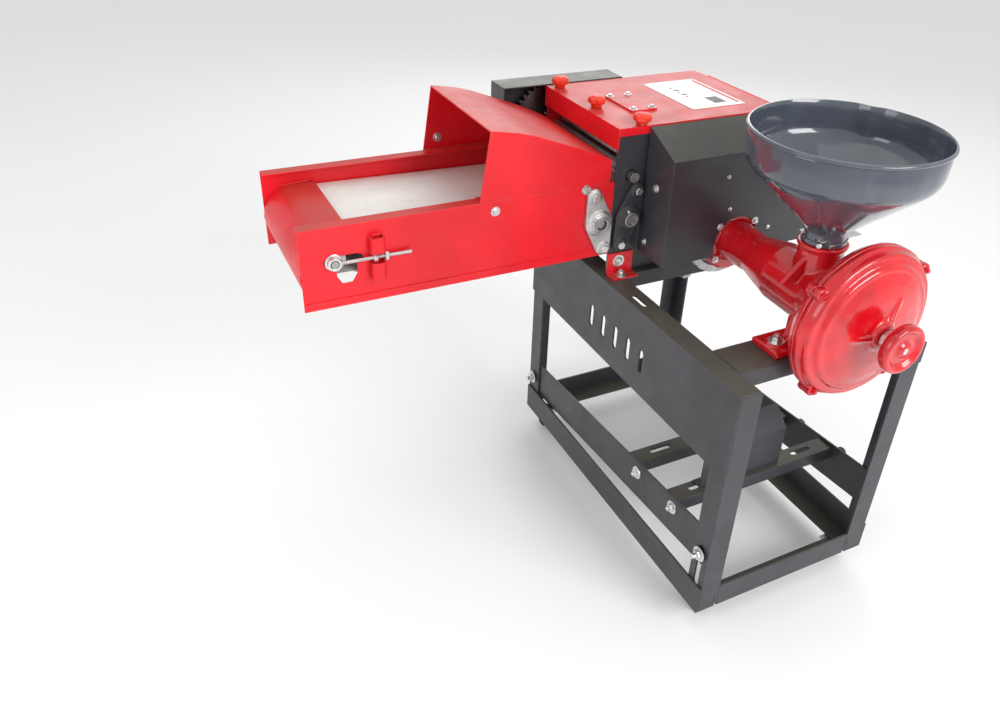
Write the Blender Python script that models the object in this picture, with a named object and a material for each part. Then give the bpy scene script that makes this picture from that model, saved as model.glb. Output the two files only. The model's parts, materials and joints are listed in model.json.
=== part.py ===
"""Combined forage cutter and grain mill on one steel stand, as an assembly of separate pieces.

Lengths in this file are millimetres; MM turns them into Blender's metres when a mesh is made.
X is the feed direction, from the tray to the cutter. Y runs along the stand, from the mill at its
near end to the gear train at its far end. Z is up. Every place is first measured from the foot
corner of the near left leg; the empty that carries all pieces then moves the assembly so that its
origin is at the middle of its base.
"""

import math

import bmesh
import bpy
from mathutils import Matrix, Vector

MM = 0.001
GAP = 0.3
SHEET = 4.0
ROUND = 20

# Stand
STAND_W = 385.0
STAND_L = 655.0
STAND_H = 463.0
FLANGE = 40.0
SIDE_PLATE_H = 158.0
BASE_SIDE_H = 57.0
BASE_END_H = 47.0
CROSS_Y = (48.0, 120.0)
HOUSING_CROSS_Y = (388.0, 413.0)
CROSS_DEPTH = 30.0

# Castors
CASTOR_H = 46.0
WHEEL_R = 17.0
WHEEL_W = 13.0
CASTOR_INSET = 34.0
CASTOR_TRAIL = 9.0

# Swinging motor base
BASE_PIVOT = (635.0, 90.0)
CLAMP = (20.0, 126.0)
MOTOR_RAIL_H = 76.0
MOTOR_RAIL_END = (10.0, 6.0)
MOTOR_CROSS_Y = (128.0, 250.0)
MOTOR_CROSS_W = 34.0

# Feed tray and hood
FEED_Y = (401.0, 657.0)
TRAY_X = -528.0
TRAY_Z = (506.0, 642.0)
TRAY_SHEET = 2.5
NOSE_R = 54.0
NOSE_FLAT_X = -440.0
TAIL_ROLLER = (-478.0, 584.0)
HEAD_ROLLER = (-17.0, 574.0)
BELT_ROLLER_R = 22.0
BELT_T = 3.0
HOOD_TOP = [(-221, 758), (-174, 750), (-140, 740), (-100, 725), (-45, 704), (2, 683)]
HOOD_FOOT_X = -238.0

# Cutter: one shaft line carries the drum, the pulley and the mill spindle
SHAFT = (226.0, 532.0)
SHAFT_R = 15.0
DRUM_R = 128.0
LOWER_FEED = (43.0, 574.0)
UPPER_FEED = (43.0, 650.0)
FEED_ROLLER_R = 28.0
HOUSING_X = (12.0, 372.0)
HOUSING_TOP = 736.0
COVER_SKIRT = 37.0
COVER_HINGE = (360.0, 729.0)
HOUSING_BEND = (310.0, 664.0)
HOUSING_BEND_R = 62.0

# Gear train, in layers along Y
MODULE = 4.0
PINION_TEETH = 15
IDLER_TEETH = 42
IDLER_PINION_TEETH = 12
BIG_TEETH = 41
PAIR_TEETH = 19
SPROCKET_R = 16.0
PAIR_LAYER = (664.0, 671.0)
SPROCKET_LAYER = (674.0, 679.0)
FIRST_LAYER = (683.0, 691.0)
SECOND_LAYER = (694.0, 702.0)
GEAR_GUARD_Y = (660.0, 716.0)

# Belt guard and pulley
GUARD_Y = (318.0, 397.0)
GUARD_X = (70.0, 392.0)
GUARD_Z = (506.0, 698.0, 734.0)
PULLEY_R = 78.0
PULLEY_Y = (345.0, 385.0)

# Disc mill
MILL_FACE_Y = -12.0
MILL_SPLIT_Y = 18.0
MILL_BACK_Y = 43.0
MILL_R = 124.0
MILL_FLANGE_Y = 334.0
MILL_OUTLET_W = 56.0
HANDWHEEL_Y = -72.0
HOPPER_AXIS = (226.0, 121.0)
HOPPER_R = 150.0
HOPPER_RIM_Z = 801.0
HOPPER_NECK_Z = 622.0

MIDDLE = Vector(((TRAY_X - 2 + GUARD_X[1]) / 2, (HANDWHEEL_Y - 6 + GEAR_GUARD_Y[1]) / 2, -CASTOR_H))


# ---------------------------------------------------------------- scene and materials

def clear_scene():
    for old in list(bpy.data.objects):
        bpy.data.objects.remove(old, do_unlink=True)


def make_material(name, color, roughness, metallic):
    material = bpy.data.materials.new(name)
    material.use_nodes = True
    shader = material.node_tree.nodes["Principled BSDF"]
    shader.inputs["Base Color"].default_value = (*color, 1.0)
    shader.inputs["Roughness"].default_value = roughness
    shader.inputs["Metallic"].default_value = metallic
    material.diffuse_color = (*color, 1.0)
    return material


clear_scene()
RED = make_material("red_paint", (0.78, 0.03, 0.05), 0.35, 0.0)
GREY = make_material("grey_paint", (0.09, 0.09, 0.10), 0.40, 0.0)
HOPPER_PAINT = make_material("hopper_paint", (0.07, 0.08, 0.10), 0.25, 0.0)
STEEL = make_material("bare_steel", (0.42, 0.42, 0.44), 0.35, 1.0)
ZINC = make_material("zinc_plate", (0.72, 0.72, 0.70), 0.30, 1.0)
ALLOY = make_material("bearing_alloy", (0.60, 0.60, 0.58), 0.45, 1.0)
CAST = make_material("red_casting", (0.66, 0.03, 0.04), 0.40, 0.0)
RUBBER = make_material("black_rubber", (0.02, 0.02, 0.02), 0.70, 0.0)
BELT = make_material("conveyor_pvc", (0.80, 0.80, 0.78), 0.55, 0.0)
KNOB = make_material("orange_knob", (0.85, 0.10, 0.05), 0.40, 0.0)

ORIGIN = bpy.data.objects.new("assembly_origin", None)
bpy.context.scene.collection.objects.link(ORIGIN)
ORIGIN.location = -MIDDLE * MM


# ---------------------------------------------------------------- building solids

def add_object(name, bm, material):
    """Links the finished bmesh, whose points are in millimetres, as an object under the origin."""
    bmesh.ops.recalc_face_normals(bm, faces=bm.faces)
    bmesh.ops.scale(bm, vec=(MM, MM, MM), verts=bm.verts)
    mesh = bpy.data.meshes.new(name)
    bm.to_mesh(mesh)
    bm.free()
    mesh.materials.append(material)
    mesh.shade_smooth()
    mesh.set_sharp_from_angle(angle=math.radians(35))
    obj = bpy.data.objects.new(name, mesh)
    bpy.context.scene.collection.objects.link(obj)
    obj.parent = ORIGIN
    return obj


def put_origin(obj, x, y, z):
    """Moves the object's own origin to this place and leaves its shape where it is."""
    place = Vector((x, y, z)) * MM
    obj.data.transform(Matrix.Translation(-place))
    obj.location = place
    return obj


def along(axis, a, b, h):
    """The point at (a, b) across this axis and h along it, with a and b in X, Y, Z order."""
    return {"x": (h, a, b), "y": (a, h, b), "z": (a, b, h)}[axis]


def prism(name, outline, axis, low, high, material=GREY):
    """A closed outline across the axis, extruded from low to high along it."""
    bm = bmesh.new()
    face = bm.faces.new([bm.verts.new(along(axis, a, b, low)) for a, b in outline])
    walls = bmesh.ops.extrude_face_region(bm, geom=[face])["geom"]
    top = [item for item in walls if isinstance(item, bmesh.types.BMVert)]
    bmesh.ops.translate(bm, vec=along(axis, 0, 0, high - low), verts=top)
    return add_object(name, bm, material)


def box(name, x, y, z, material=GREY):
    return prism(name, [(x[0], y[0]), (x[1], y[0]), (x[1], y[1]), (x[0], y[1])], "z", z[0], z[1], material)


def turned(name, profile, axis, centre, material=GREY, ring=False, steps=ROUND):
    """A profile of (radius, height) turned round the axis. A ring profile is closed on itself."""
    bm = bmesh.new()
    rows = []
    for radius, height in profile:
        if radius == 0:
            rows.append([bm.verts.new(along(axis, *centre, height))] * steps)
            continue
        turns = [2 * math.pi * step / steps for step in range(steps)]
        spots = [(centre[0] + radius * math.cos(t), centre[1] + radius * math.sin(t)) for t in turns]
        rows.append([bm.verts.new(along(axis, a, b, height)) for a, b in spots])
    pairs = list(zip(rows, rows[1:] + rows[:1])) if ring else list(zip(rows, rows[1:]))
    for lower, upper in pairs:
        for step in range(steps):
            after = (step + 1) % steps
            corners = [lower[step], lower[after], upper[after], upper[step]]
            bm.faces.new(list(dict.fromkeys(corners)))
    return add_object(name, bm, material)


def rod(name, axis, centre, low, high, radius, material=GREY, steps=ROUND):
    profile = [(0, low), (radius, low), (radius, high), (0, high)]
    return turned(name, profile, axis, centre, material, steps=steps)


def sheet_outline(path, thickness):
    """The closed outline of a sheet whose one side follows the path and whose other side lies left of it."""
    points = [Vector(p) for p in path]
    normals = []
    for start, end in zip(points, points[1:]):
        step = (end - start).normalized()
        normals.append(Vector((-step.y, step.x)))
    other = [points[0] + normals[0] * thickness]
    for point, before, after in zip(points[1:-1], normals, normals[1:]):
        bisector = (before + after).normalized()
        other.append(point + bisector * thickness / bisector.dot(after))
    other.append(points[-1] + normals[-1] * thickness)
    return [tuple(p) for p in points + other[::-1]]


def arc(centre, radius, start, end, steps):
    """Points on an arc, with its angles in degrees."""
    angles = [math.radians(start + (end - start) * step / steps) for step in range(steps + 1)]
    return [(centre[0] + radius * math.cos(a), centre[1] + radius * math.sin(a)) for a in angles]


def slot_outline(centre, length, width, lengthwise, steps=5):
    """A round-ended slot. lengthwise is 0 when it runs along the first direction, else 90."""
    reach = (length - width) / 2
    shift = (reach, 0) if lengthwise == 0 else (0, reach)
    high = (centre[0] + shift[0], centre[1] + shift[1])
    low = (centre[0] - shift[0], centre[1] - shift[1])
    first = arc(high, width / 2, lengthwise - 90, lengthwise + 90, steps)
    return first + arc(low, width / 2, lengthwise + 90, lengthwise + 270, steps)


def combine(base, helpers, operation):
    """Adds or cuts each helper with a Boolean modifier and hides the helper."""
    for helper in helpers:
        helper.hide_render = True
        helper.display_type = "WIRE"
        modifier = base.modifiers.new(helper.name, "BOOLEAN")
        modifier.operation = operation
        modifier.object = helper
    return base


def joined(base, *helpers):
    return combine(base, helpers, "UNION")


def cut(base, *helpers):
    return combine(base, helpers, "DIFFERENCE")


# ---------------------------------------------------------------- stand

def leg(name, x, y, inward_x, inward_y, slotted):
    """An angle upright with its corner at (x, y) and its flanges running inward."""
    corner = [(0, 0), (FLANGE, 0), (FLANGE, SHEET), (SHEET, SHEET), (SHEET, FLANGE), (0, FLANGE)]
    outline = [(x + a * inward_x, y + b * inward_y) for a, b in corner]
    post = prism(name, outline, "z", SHEET + GAP, STAND_H - SHEET - GAP)
    reach = sorted((x - 5 * inward_x, x + 8 * inward_x))
    if slotted:
        slot = slot_outline((CLAMP[0], 96.0), 90.0, 12.0, 90)
        cut(post, prism(name + "_slot_cutter", slot, "x", *reach))
    else:
        cut(post, rod(name + "_pivot_cutter", "x", BASE_PIVOT, *reach, 5.6, steps=16))
    return post


def build_legs():
    near_y, far_y = 0.0, STAND_L
    left_x, right_x = SHEET + GAP, STAND_W - SHEET - GAP
    leg("leg_near_left", left_x, near_y, 1, 1, True)
    leg("leg_near_right", right_x, near_y, -1, 1, True)
    leg("leg_far_left", left_x, far_y, 1, -1, False)
    leg("leg_far_right", right_x, far_y, -1, -1, False)


def build_side_plate():
    """The deep left rail: one bent sheet with a top flange and a row of plain slots."""
    low = STAND_H - SIDE_PLATE_H
    outline = [(0, low), (0, STAND_H), (FLANGE, STAND_H)]
    outline += [(FLANGE, STAND_H - SHEET), (SHEET, STAND_H - SHEET), (SHEET, low)]
    plate = prism("side_plate_left", outline, "y", 0, STAND_L)
    slots = []
    for step in range(5):
        window = slot_outline((250.0 + 42.0 * step, STAND_H - 92.0), 46.0, 12.0, 90, 3)
        slots.append(prism(f"side_slot_cutter_{step}", window, "x", -5, SHEET + 5))
    flange_slot = slot_outline((18.0, 298.0), 42.0, 8.0, 90, 3)
    slots.append(prism("flange_slot_cutter", flange_slot, "z", STAND_H - 9, STAND_H + 5))
    return cut(plate, *slots)


def angle_rail(name, corner, toward, axis, low, high, height, width):
    """An angle section: its upright flange is height tall and its flat flange is width wide.

    corner is the outer corner, and toward says which way each flange runs from it.
    """
    across, up = toward
    shape = [(0, 0), (width * across, 0), (width * across, SHEET * up)]
    shape += [(SHEET * across, SHEET * up), (SHEET * across, height * up), (0, height * up)]
    outline = [(corner[0] + a, corner[1] + b) for a, b in shape]
    return prism(name, outline, axis, low, high)


def build_rails():
    angle_rail("top_rail_right", (STAND_W, STAND_H), (-1, -1), "y", 0, STAND_L, FLANGE, FLANGE)
    inner = (FLANGE + GAP, STAND_W - FLANGE - GAP)
    inner_post = (FLANGE + SHEET + 2 * GAP, STAND_W - FLANGE - SHEET - 2 * GAP)
    angle_rail("top_rail_far", (STAND_L, STAND_H), (-1, -1), "x", *inner_post, FLANGE, FLANGE)
    angle_rail("base_rail_left", (0, 0), (1, 1), "y", 0, STAND_L, BASE_SIDE_H, FLANGE)
    angle_rail("base_rail_right", (STAND_W, 0), (-1, 1), "y", 0, STAND_L, BASE_SIDE_H, FLANGE)
    angle_rail("base_rail_near", (0, 0), (1, 1), "x", *inner_post, BASE_END_H, FLANGE)
    angle_rail("base_rail_far", (STAND_L, 0), (-1, 1), "x", *inner_post, BASE_END_H, FLANGE)
    channel("mill_cross_member", CROSS_Y, inner)
    channel("housing_cross_member", HOUSING_CROSS_Y, inner)


def channel(name, y, x):
    """A cross member folded down on both sides, flush with the top of the stand."""
    low = STAND_H - CROSS_DEPTH
    path = [(y[0], low), (y[0], STAND_H), (y[1], STAND_H), (y[1], low)]
    return prism(name, sheet_outline(path, -SHEET), "x", *x)


# ---------------------------------------------------------------- castors

def build_castor(name, x, y, trail):
    """A fork with its top plate and axle, and the wheel that turns on the axle."""
    axle_z = WHEEL_R - CASTOR_H
    inner, outer = WHEEL_W / 2 + 1.0, WHEEL_W / 2 + 3.5
    top = -GAP - 2.5
    legs = [(y - outer, axle_z - 5), (y - outer, top), (y + outer, top), (y + outer, axle_z - 5)]
    legs += [(y + inner, axle_z - 5), (y + inner, top - 3), (y - inner, top - 3), (y - inner, axle_z - 5)]
    wheel_x = x + trail
    fork = prism(name + "_fork", legs, "x", wheel_x - 10, wheel_x + 10, ZINC)
    plate = box(name + "_plate_part", (x - 20, x + 20), (y - 17, y + 17), (top - 1, -GAP), ZINC)
    axle = rod(name + "_axle_part", "y", (wheel_x, axle_z), y - outer - 1, y + outer + 1, 3.0, ZINC, 12)
    joined(fork, plate, axle)
    put_origin(fork, x, y, axle_z)
    half = WHEEL_W / 2
    bore = 3.4
    tyre = [(bore, -half), (WHEEL_R - 2, -half), (WHEEL_R, -half + 2)]
    tyre += [(WHEEL_R, half - 2), (WHEEL_R - 2, half), (bore, half)]
    spots = [(radius, y + height) for radius, height in tyre]
    wheel = turned(name + "_wheel", spots, "y", (wheel_x, axle_z), RUBBER, ring=True, steps=20)
    put_origin(wheel, wheel_x, y, axle_z)


def build_castors():
    near, far = CASTOR_INSET, STAND_L - CASTOR_INSET
    left, right = CASTOR_INSET, STAND_W - CASTOR_INSET
    build_castor("castor_near_left", left, near, CASTOR_TRAIL)
    build_castor("castor_near_right", right, near, CASTOR_TRAIL)
    build_castor("castor_far_left", left, far, 0.0)
    build_castor("castor_far_right", right, far, 0.0)


# ---------------------------------------------------------------- motor base

def rail_height_at(y):
    """Middle height of the inclined motor rail at this place along the stand."""
    slope = (CLAMP[1] + 10 - BASE_PIVOT[1]) / (CLAMP[0] - BASE_PIVOT[0])
    return BASE_PIVOT[1] + slope * (y - BASE_PIVOT[0])


def motor_rail(name, x_outer, side):
    """An inclined flat-sided rail with its pivot pin and its clamp bolt. side is 1 on the left."""
    ends = (BASE_PIVOT[0] + MOTOR_RAIL_END[0], CLAMP[0] - MOTOR_RAIL_END[1])
    half = MOTOR_RAIL_H / 2
    outline = [(y, rail_height_at(y) + half * sign) for y, sign in
               ((ends[0], -1), (ends[1], -1), (ends[1], 1), (ends[0], 1))]
    low, high = sorted((x_outer, x_outer + SHEET * side))
    rail = prism(name, outline, "x", low, high)
    out, inn = sorted((x_outer - 14.0 * side, x_outer + 9.0 * side))
    pivot = rod(name + "_pivot_pin", "x", BASE_PIVOT, out, inn, 5.0, ZINC, 12)
    clamp = rod(name + "_clamp_bolt", "x", CLAMP, out, inn, 4.5, ZINC, 12)
    joined(rail, pivot, clamp)
    return put_origin(rail, x_outer, *BASE_PIVOT)


def motor_cross_rail(name, y, x):
    """A slotted cross rail on which the motor's feet are bolted."""
    top = rail_height_at(y) + MOTOR_RAIL_H / 2 - 6
    w = MOTOR_CROSS_W / 2
    path = [(y - w, top - 26), (y - w, top), (y + w, top)]
    rail = prism(name, sheet_outline(path, -SHEET), "x", *x)
    cutters = []
    for number, slot_x in enumerate((x[0] + 62, x[1] - 62)):
        outline = slot_outline((slot_x, y + 2), 46.0, 9.0, 0, 3)
        cutters.append(prism(f"{name}_cutter_{number}", outline, "z", top - 10, top + 6))
    cut(rail, *cutters)
    return put_origin(rail, x[0], *BASE_PIVOT)


def build_motor_base():
    left = SHEET * 2 + 2 * GAP
    right = STAND_W - SHEET * 2 - 2 * GAP
    motor_rail("motor_rail_left", left, 1)
    motor_rail("motor_rail_right", right, -1)
    inner = (left + SHEET + GAP, right - SHEET - GAP)
    motor_cross_rail("motor_cross_rail_near", MOTOR_CROSS_Y[0], inner)
    motor_cross_rail("motor_cross_rail_far", MOTOR_CROSS_Y[1], inner)
    top = rail_height_at(MOTOR_CROSS_Y[0]) + MOTOR_RAIL_H / 2 - 6 + GAP
    y = MOTOR_CROSS_Y[0] + 2
    path = [(y + 14, top), (y - 8, top), (y - 8, top + 80), (y + 26, top + 112)]
    shield = prism("motor_shield", sheet_outline(path, -2.5), "x", 70, 250)
    put_origin(shield, 70, *BASE_PIVOT)


# ---------------------------------------------------------------- feed tray, hood and conveyor

def tray_wall(name, y, inward):
    """A side wall with a narrow top flange, and the slot and the window of the belt tensioner."""
    end = HOUSING_X[0] - GAP
    low, high = TRAY_Z
    path = [(y, low), (y, high), (y + 22 * inward, high)]
    outline = sheet_outline(path, -TRAY_SHEET * inward)
    wall = prism(name, outline, "x", TRAY_X, end, RED)
    reach = sorted((y - 6 * inward, y + 8 * inward))
    window = slot_outline((-458.0, 568.0), 50.0, 32.0, 90, 3)
    axle_slot = slot_outline((-462.0, 584.0), 62.0, 17.0, 0, 4)
    head_hole = rod(name + "_head_cutter", "y", HEAD_ROLLER, *reach, 12.0, steps=16)
    cut(wall, prism(name + "_window_cutter", window, "y", *reach),
        prism(name + "_slot_cutter", axle_slot, "y", *reach), head_hole)
    return wall


def build_tray():
    near, far = FEED_Y
    tray_wall("tray_wall_near", near, 1)
    tray_wall("tray_wall_far", far, -1)
    centre = (TRAY_X + NOSE_R - 2, TRAY_Z[0] + NOSE_R + 1)
    path = arc(centre, NOSE_R, 235, 90, 8) + [(NOSE_FLAT_X, centre[1] + NOSE_R)]
    inner = (near + TRAY_SHEET + GAP, far - TRAY_SHEET - GAP)
    prism("tray_nose", sheet_outline(path, -TRAY_SHEET), "y", *inner, RED)


def build_hood():
    """One bent cover over the tray's throat, with a side panel at each wall."""
    near, far = FEED_Y
    low = TRAY_Z[1] + GAP
    base_x = HOOD_TOP[-1][0]
    side = [(HOOD_FOOT_X, low), *HOOD_TOP, (base_x, low)]
    panel_near = prism("hood_near_panel", side, "y", near, near + TRAY_SHEET, RED)
    panel_far = prism("hood_far_panel", side, "y", far - TRAY_SHEET, far, RED)
    roof = prism("hood", sheet_outline(HOOD_TOP, -TRAY_SHEET), "y", near + 1, far - 1, RED)
    foot_near = box("hood_near_foot", (HOOD_FOOT_X, base_x), (near, near + 20), (low, low + 2.5), RED)
    foot_far = box("hood_far_foot", (HOOD_FOOT_X, base_x), (far - 20, far), (low, low + 2.5), RED)
    return joined(roof, panel_near, panel_far, foot_near, foot_far)


def belt_loop(inner_radius, steps=8):
    """Outline round both conveyor rollers at this radius from their axes."""
    tail, head = TAIL_ROLLER, HEAD_ROLLER
    tilt = math.degrees(math.atan2(head[1] - tail[1], head[0] - tail[0]))
    around_tail = arc(tail, inner_radius, 90 + tilt, 270 + tilt, steps)
    return around_tail + arc(head, inner_radius, -90 + tilt, 90 + tilt, steps)


def build_conveyor():
    near, far = FEED_Y
    inner = (near + TRAY_SHEET + 4, far - TRAY_SHEET - 4)
    radius = BELT_ROLLER_R + 3 * GAP
    belt = prism("conveyor_belt", belt_loop(radius + BELT_T), "y", *inner, BELT)
    cut(belt, prism("belt_inside_cutter", belt_loop(radius), "y", near, far))
    tail = rod("tail_roller", "y", TAIL_ROLLER, inner[0] + 2, inner[1] - 2, BELT_ROLLER_R, STEEL)
    joined(tail, rod("tail_axle_part", "y", TAIL_ROLLER, near - 11, far + 11, 6.0, STEEL, 16))
    put_origin(tail, TAIL_ROLLER[0], near, TAIL_ROLLER[1])
    head = rod("head_roller", "y", HEAD_ROLLER, inner[0] + 2, inner[1] - 2, BELT_ROLLER_R, STEEL)
    journal = rod("head_axle_part", "y", HEAD_ROLLER, near - 14, SPROCKET_LAYER[1] + 1, 8.0, STEEL, 12)
    sprocket = rod("head_sprocket_part", "y", HEAD_ROLLER, *SPROCKET_LAYER, SPROCKET_R, STEEL)
    joined(head, journal, sprocket)
    put_origin(head, HEAD_ROLLER[0], near, HEAD_ROLLER[1])
    tensioner("tension_bolt_near", near - 2, -1)
    tensioner("tension_bolt_far", far + 2, 1)


def tensioner(name, wall_y, outward):
    """An eye bolt that pulls the tail roller's axle, with its nut."""
    y = wall_y + 4.5 * outward
    low, high = sorted((y - 3.5 * outward, y + 3.5 * outward))
    eye_profile = [(6.4, low), (11, low), (11, high), (6.4, high)]
    eye = turned(name, eye_profile, "y", TAIL_ROLLER, ZINC, ring=True, steps=16)
    start = TAIL_ROLLER[0] + 9
    shank = rod(name + "_shank_part", "x", (y, TAIL_ROLLER[1]), start, start + 112, 3.0, ZINC, 10)
    nut = rod(name + "_nut_part", "x", (y, TAIL_ROLLER[1]), start + 78, start + 86, 6.5, ZINC, 6)
    joined(eye, shank, nut)
    return put_origin(eye, TAIL_ROLLER[0], y, TAIL_ROLLER[1])


# ---------------------------------------------------------------- gears

def gear_outline(centre, teeth, turn):
    """Straight-sided teeth that leave running clearance. turn is the angle of one tooth's middle."""
    pitch = MODULE * teeth / 2
    root, tip = pitch - 1.2 * MODULE, pitch + 0.8 * MODULE
    pace = 2 * math.pi / teeth
    half_tip = 0.40 * MODULE / tip
    half_root = 0.85 * MODULE / root
    outline = []
    for number in range(teeth):
        middle = turn + pace * number
        for radius, angle in ((root, -half_root), (tip, -half_tip), (tip, half_tip), (root, half_root)):
            outline.append((centre[0] + radius * math.cos(middle + angle),
                            centre[1] + radius * math.sin(middle + angle)))
    return outline


def mesh_turn(centre, other, teeth, other_teeth, other_turn):
    """The turn that puts a gap of this gear where the other gear's tooth comes."""
    line = math.atan2(other[1] - centre[1], other[0] - centre[0])
    back = line + math.pi
    other_phase = (back - other_turn) / (2 * math.pi / other_teeth)
    return line + (2 * math.pi / teeth) * (0.5 + other_phase)


def idler_centre():
    """Where the idler meshes with both the shaft pinion and the upper feed roller's big gear."""
    first = MODULE * (PINION_TEETH + IDLER_TEETH) / 2
    second = MODULE * (IDLER_PINION_TEETH + BIG_TEETH) / 2
    dx, dz = UPPER_FEED[0] - SHAFT[0], UPPER_FEED[1] - SHAFT[1]
    span = math.hypot(dx, dz)
    reach = (first ** 2 - second ** 2 + span ** 2) / (2 * span)
    rise = math.sqrt(first ** 2 - reach ** 2)
    ux, uz = dx / span, dz / span
    return (SHAFT[0] + ux * reach + uz * rise, SHAFT[1] + uz * reach - ux * rise)


def build_gears():
    idler = idler_centre()
    pinion = prism("shaft_pinion", gear_outline(SHAFT, PINION_TEETH, 0), "y", *FIRST_LAYER, STEEL)
    cut(pinion, rod("pinion_bore_cutter", "y", SHAFT, 600, 800, SHAFT_R - 3 + GAP, steps=24))
    put_origin(pinion, SHAFT[0], FIRST_LAYER[0], SHAFT[1])
    turn = mesh_turn(idler, SHAFT, IDLER_TEETH, PINION_TEETH, 0)
    wheel = prism("idler_gear", gear_outline(idler, IDLER_TEETH, turn), "y", *FIRST_LAYER, STEEL)
    small = gear_outline(idler, IDLER_PINION_TEETH, turn)
    hub = prism("idler_pinion_part", small, "y", FIRST_LAYER[1] - 1, SECOND_LAYER[1], STEEL)
    bore = rod("idler_bore_cutter", "y", idler, 600, 800, 8.4, steps=20)
    cut(joined(wheel, hub), bore)
    put_origin(wheel, idler[0], FIRST_LAYER[0], idler[1])
    return idler, turn


# ---------------------------------------------------------------- feed rollers and bearings

def fluted_outline(centre, radius, flutes):
    """A roller section with shallow ribs."""
    points = []
    for number in range(flutes):
        for share, part in ((0.0, 1.0), (0.28, 1.0), (0.42, 0.86), (0.86, 0.86)):
            angle = 2 * math.pi * (number + share) / flutes
            points.append((centre[0] + part * radius * math.cos(angle),
                           centre[1] + part * radius * math.sin(angle)))
    return points


def feed_roller(name, centre, end_y):
    inner = (FEED_Y[0] + 8, FEED_Y[1] - 8)
    roller = prism(name, fluted_outline(centre, FEED_ROLLER_R, 9), "y", *inner, STEEL)
    shaft = rod(name + "_shaft_part", "y", centre, FEED_Y[0] - 14, end_y, 9.0, STEEL, 16)
    joined(roller, shaft)
    return put_origin(roller, centre[0], FEED_Y[0], centre[1])


def build_feed_rollers(idler, idler_turn):
    lower = feed_roller("lower_feed_roller", LOWER_FEED, SPROCKET_LAYER[1] + 1)
    upper = feed_roller("upper_feed_roller", UPPER_FEED, SECOND_LAYER[1] + 3)
    pair_turn = mesh_turn(UPPER_FEED, LOWER_FEED, PAIR_TEETH, PAIR_TEETH, math.pi / PAIR_TEETH)
    pair_low = gear_outline(LOWER_FEED, PAIR_TEETH, math.pi / PAIR_TEETH)
    pair_high = gear_outline(UPPER_FEED, PAIR_TEETH, pair_turn)
    sprocket = rod("lower_sprocket_part", "y", LOWER_FEED, *SPROCKET_LAYER, SPROCKET_R, STEEL)
    joined(lower, prism("lower_gear_part", pair_low, "y", *PAIR_LAYER, STEEL), sprocket)
    big_turn = mesh_turn(UPPER_FEED, idler, BIG_TEETH, IDLER_PINION_TEETH, idler_turn)
    big = gear_outline(UPPER_FEED, BIG_TEETH, big_turn)
    joined(upper, prism("upper_gear_part", pair_high, "y", *PAIR_LAYER, STEEL),
           prism("upper_big_gear_part", big, "y", *SECOND_LAYER, STEEL))


def flange_bearing(name, centre, lean, material):
    """A two-bolt bearing unit on the near wall, leaning so that its bolts clear their neighbours."""
    y = FEED_Y[0] - GAP
    reach = 51.0
    axis = math.radians(90 + lean)
    ends = [(centre[0] + reach * s * math.cos(axis), centre[1] + reach * s * math.sin(axis)) for s in (1, -1)]
    outline = arc(ends[0], 14, lean, lean + 180, 6)
    outline += arc(centre, 26, lean + 160, lean + 200, 3)
    outline += arc(ends[1], 14, lean + 180, lean + 360, 6)
    outline += arc(centre, 26, lean - 20, lean + 20, 3)
    unit = prism(name, outline, "y", y - 9, y, material)
    collar = [(0, y - 20), (16, y - 20), (20, y - 15), (22, y - 8), (0, y - 8)]
    dome = turned(name + "_dome_part", collar, "y", centre, material, steps=24)
    bolts = [rod(f"{name}_bolt_{n}_part", "y", end, y - 17, y - 8, 8.0, ZINC, 6) for n, end in enumerate(ends)]
    bore = rod(name + "_bore_cutter", "y", centre, y - 16, y + 5, 9.4, steps=20)
    return cut(joined(unit, dome, *bolts), bore)


def build_bearings():
    flange_bearing("bearing_head_roller", HEAD_ROLLER, 14, ALLOY)
    flange_bearing("bearing_lower_feed", LOWER_FEED, -14, GREY)


# ---------------------------------------------------------------- cutter

def housing_side(name, y, feed_holes, paint):
    """A side plate of the cutter housing with a folded foot."""
    left, right = HOUSING_X
    top = HOUSING_TOP - 8
    low = STAND_H + GAP
    outline = [(left, low), (right, low), *arc(HOUSING_BEND, HOUSING_BEND_R, 0, 80, 6)]
    outline += [(left + 6, top), (left, top - 6)]
    side = prism(name, outline, "y", *y, paint)
    reach = (y[0] - 20, y[1] + 20)
    cutters = [rod(name + "_shaft_cutter", "y", SHAFT, *reach, SHAFT_R + 2, steps=20)]
    for number, centre in enumerate(feed_holes):
        cutters.append(rod(f"{name}_feed_cutter_{number}", "y", centre, *reach, 10.5, steps=16))
    return cut(side, *cutters)


def build_housing():
    near, far = FEED_Y
    sheet = 4.0
    housing_side("housing_side_near", (near, near + sheet), (LOWER_FEED, UPPER_FEED), GREY)
    housing_side("housing_side_far", (far - sheet, far), (LOWER_FEED, UPPER_FEED), RED)
    inner = (near + sheet + GAP, far - sheet - GAP)
    right = HOUSING_X[1]
    path = [(right, STAND_H + GAP), *arc(HOUSING_BEND, HOUSING_BEND_R, 0, 76, 6)]
    prism("housing_back", sheet_outline(path, 3.0), "y", *inner, RED)
    bed = [(14, 536), (78, 536), (88, 560), (90, 606), (80, 606), (80, 590), (74, 546), (14, 540)]
    prism("shear_bar", bed, "y", *inner, STEEL)


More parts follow.
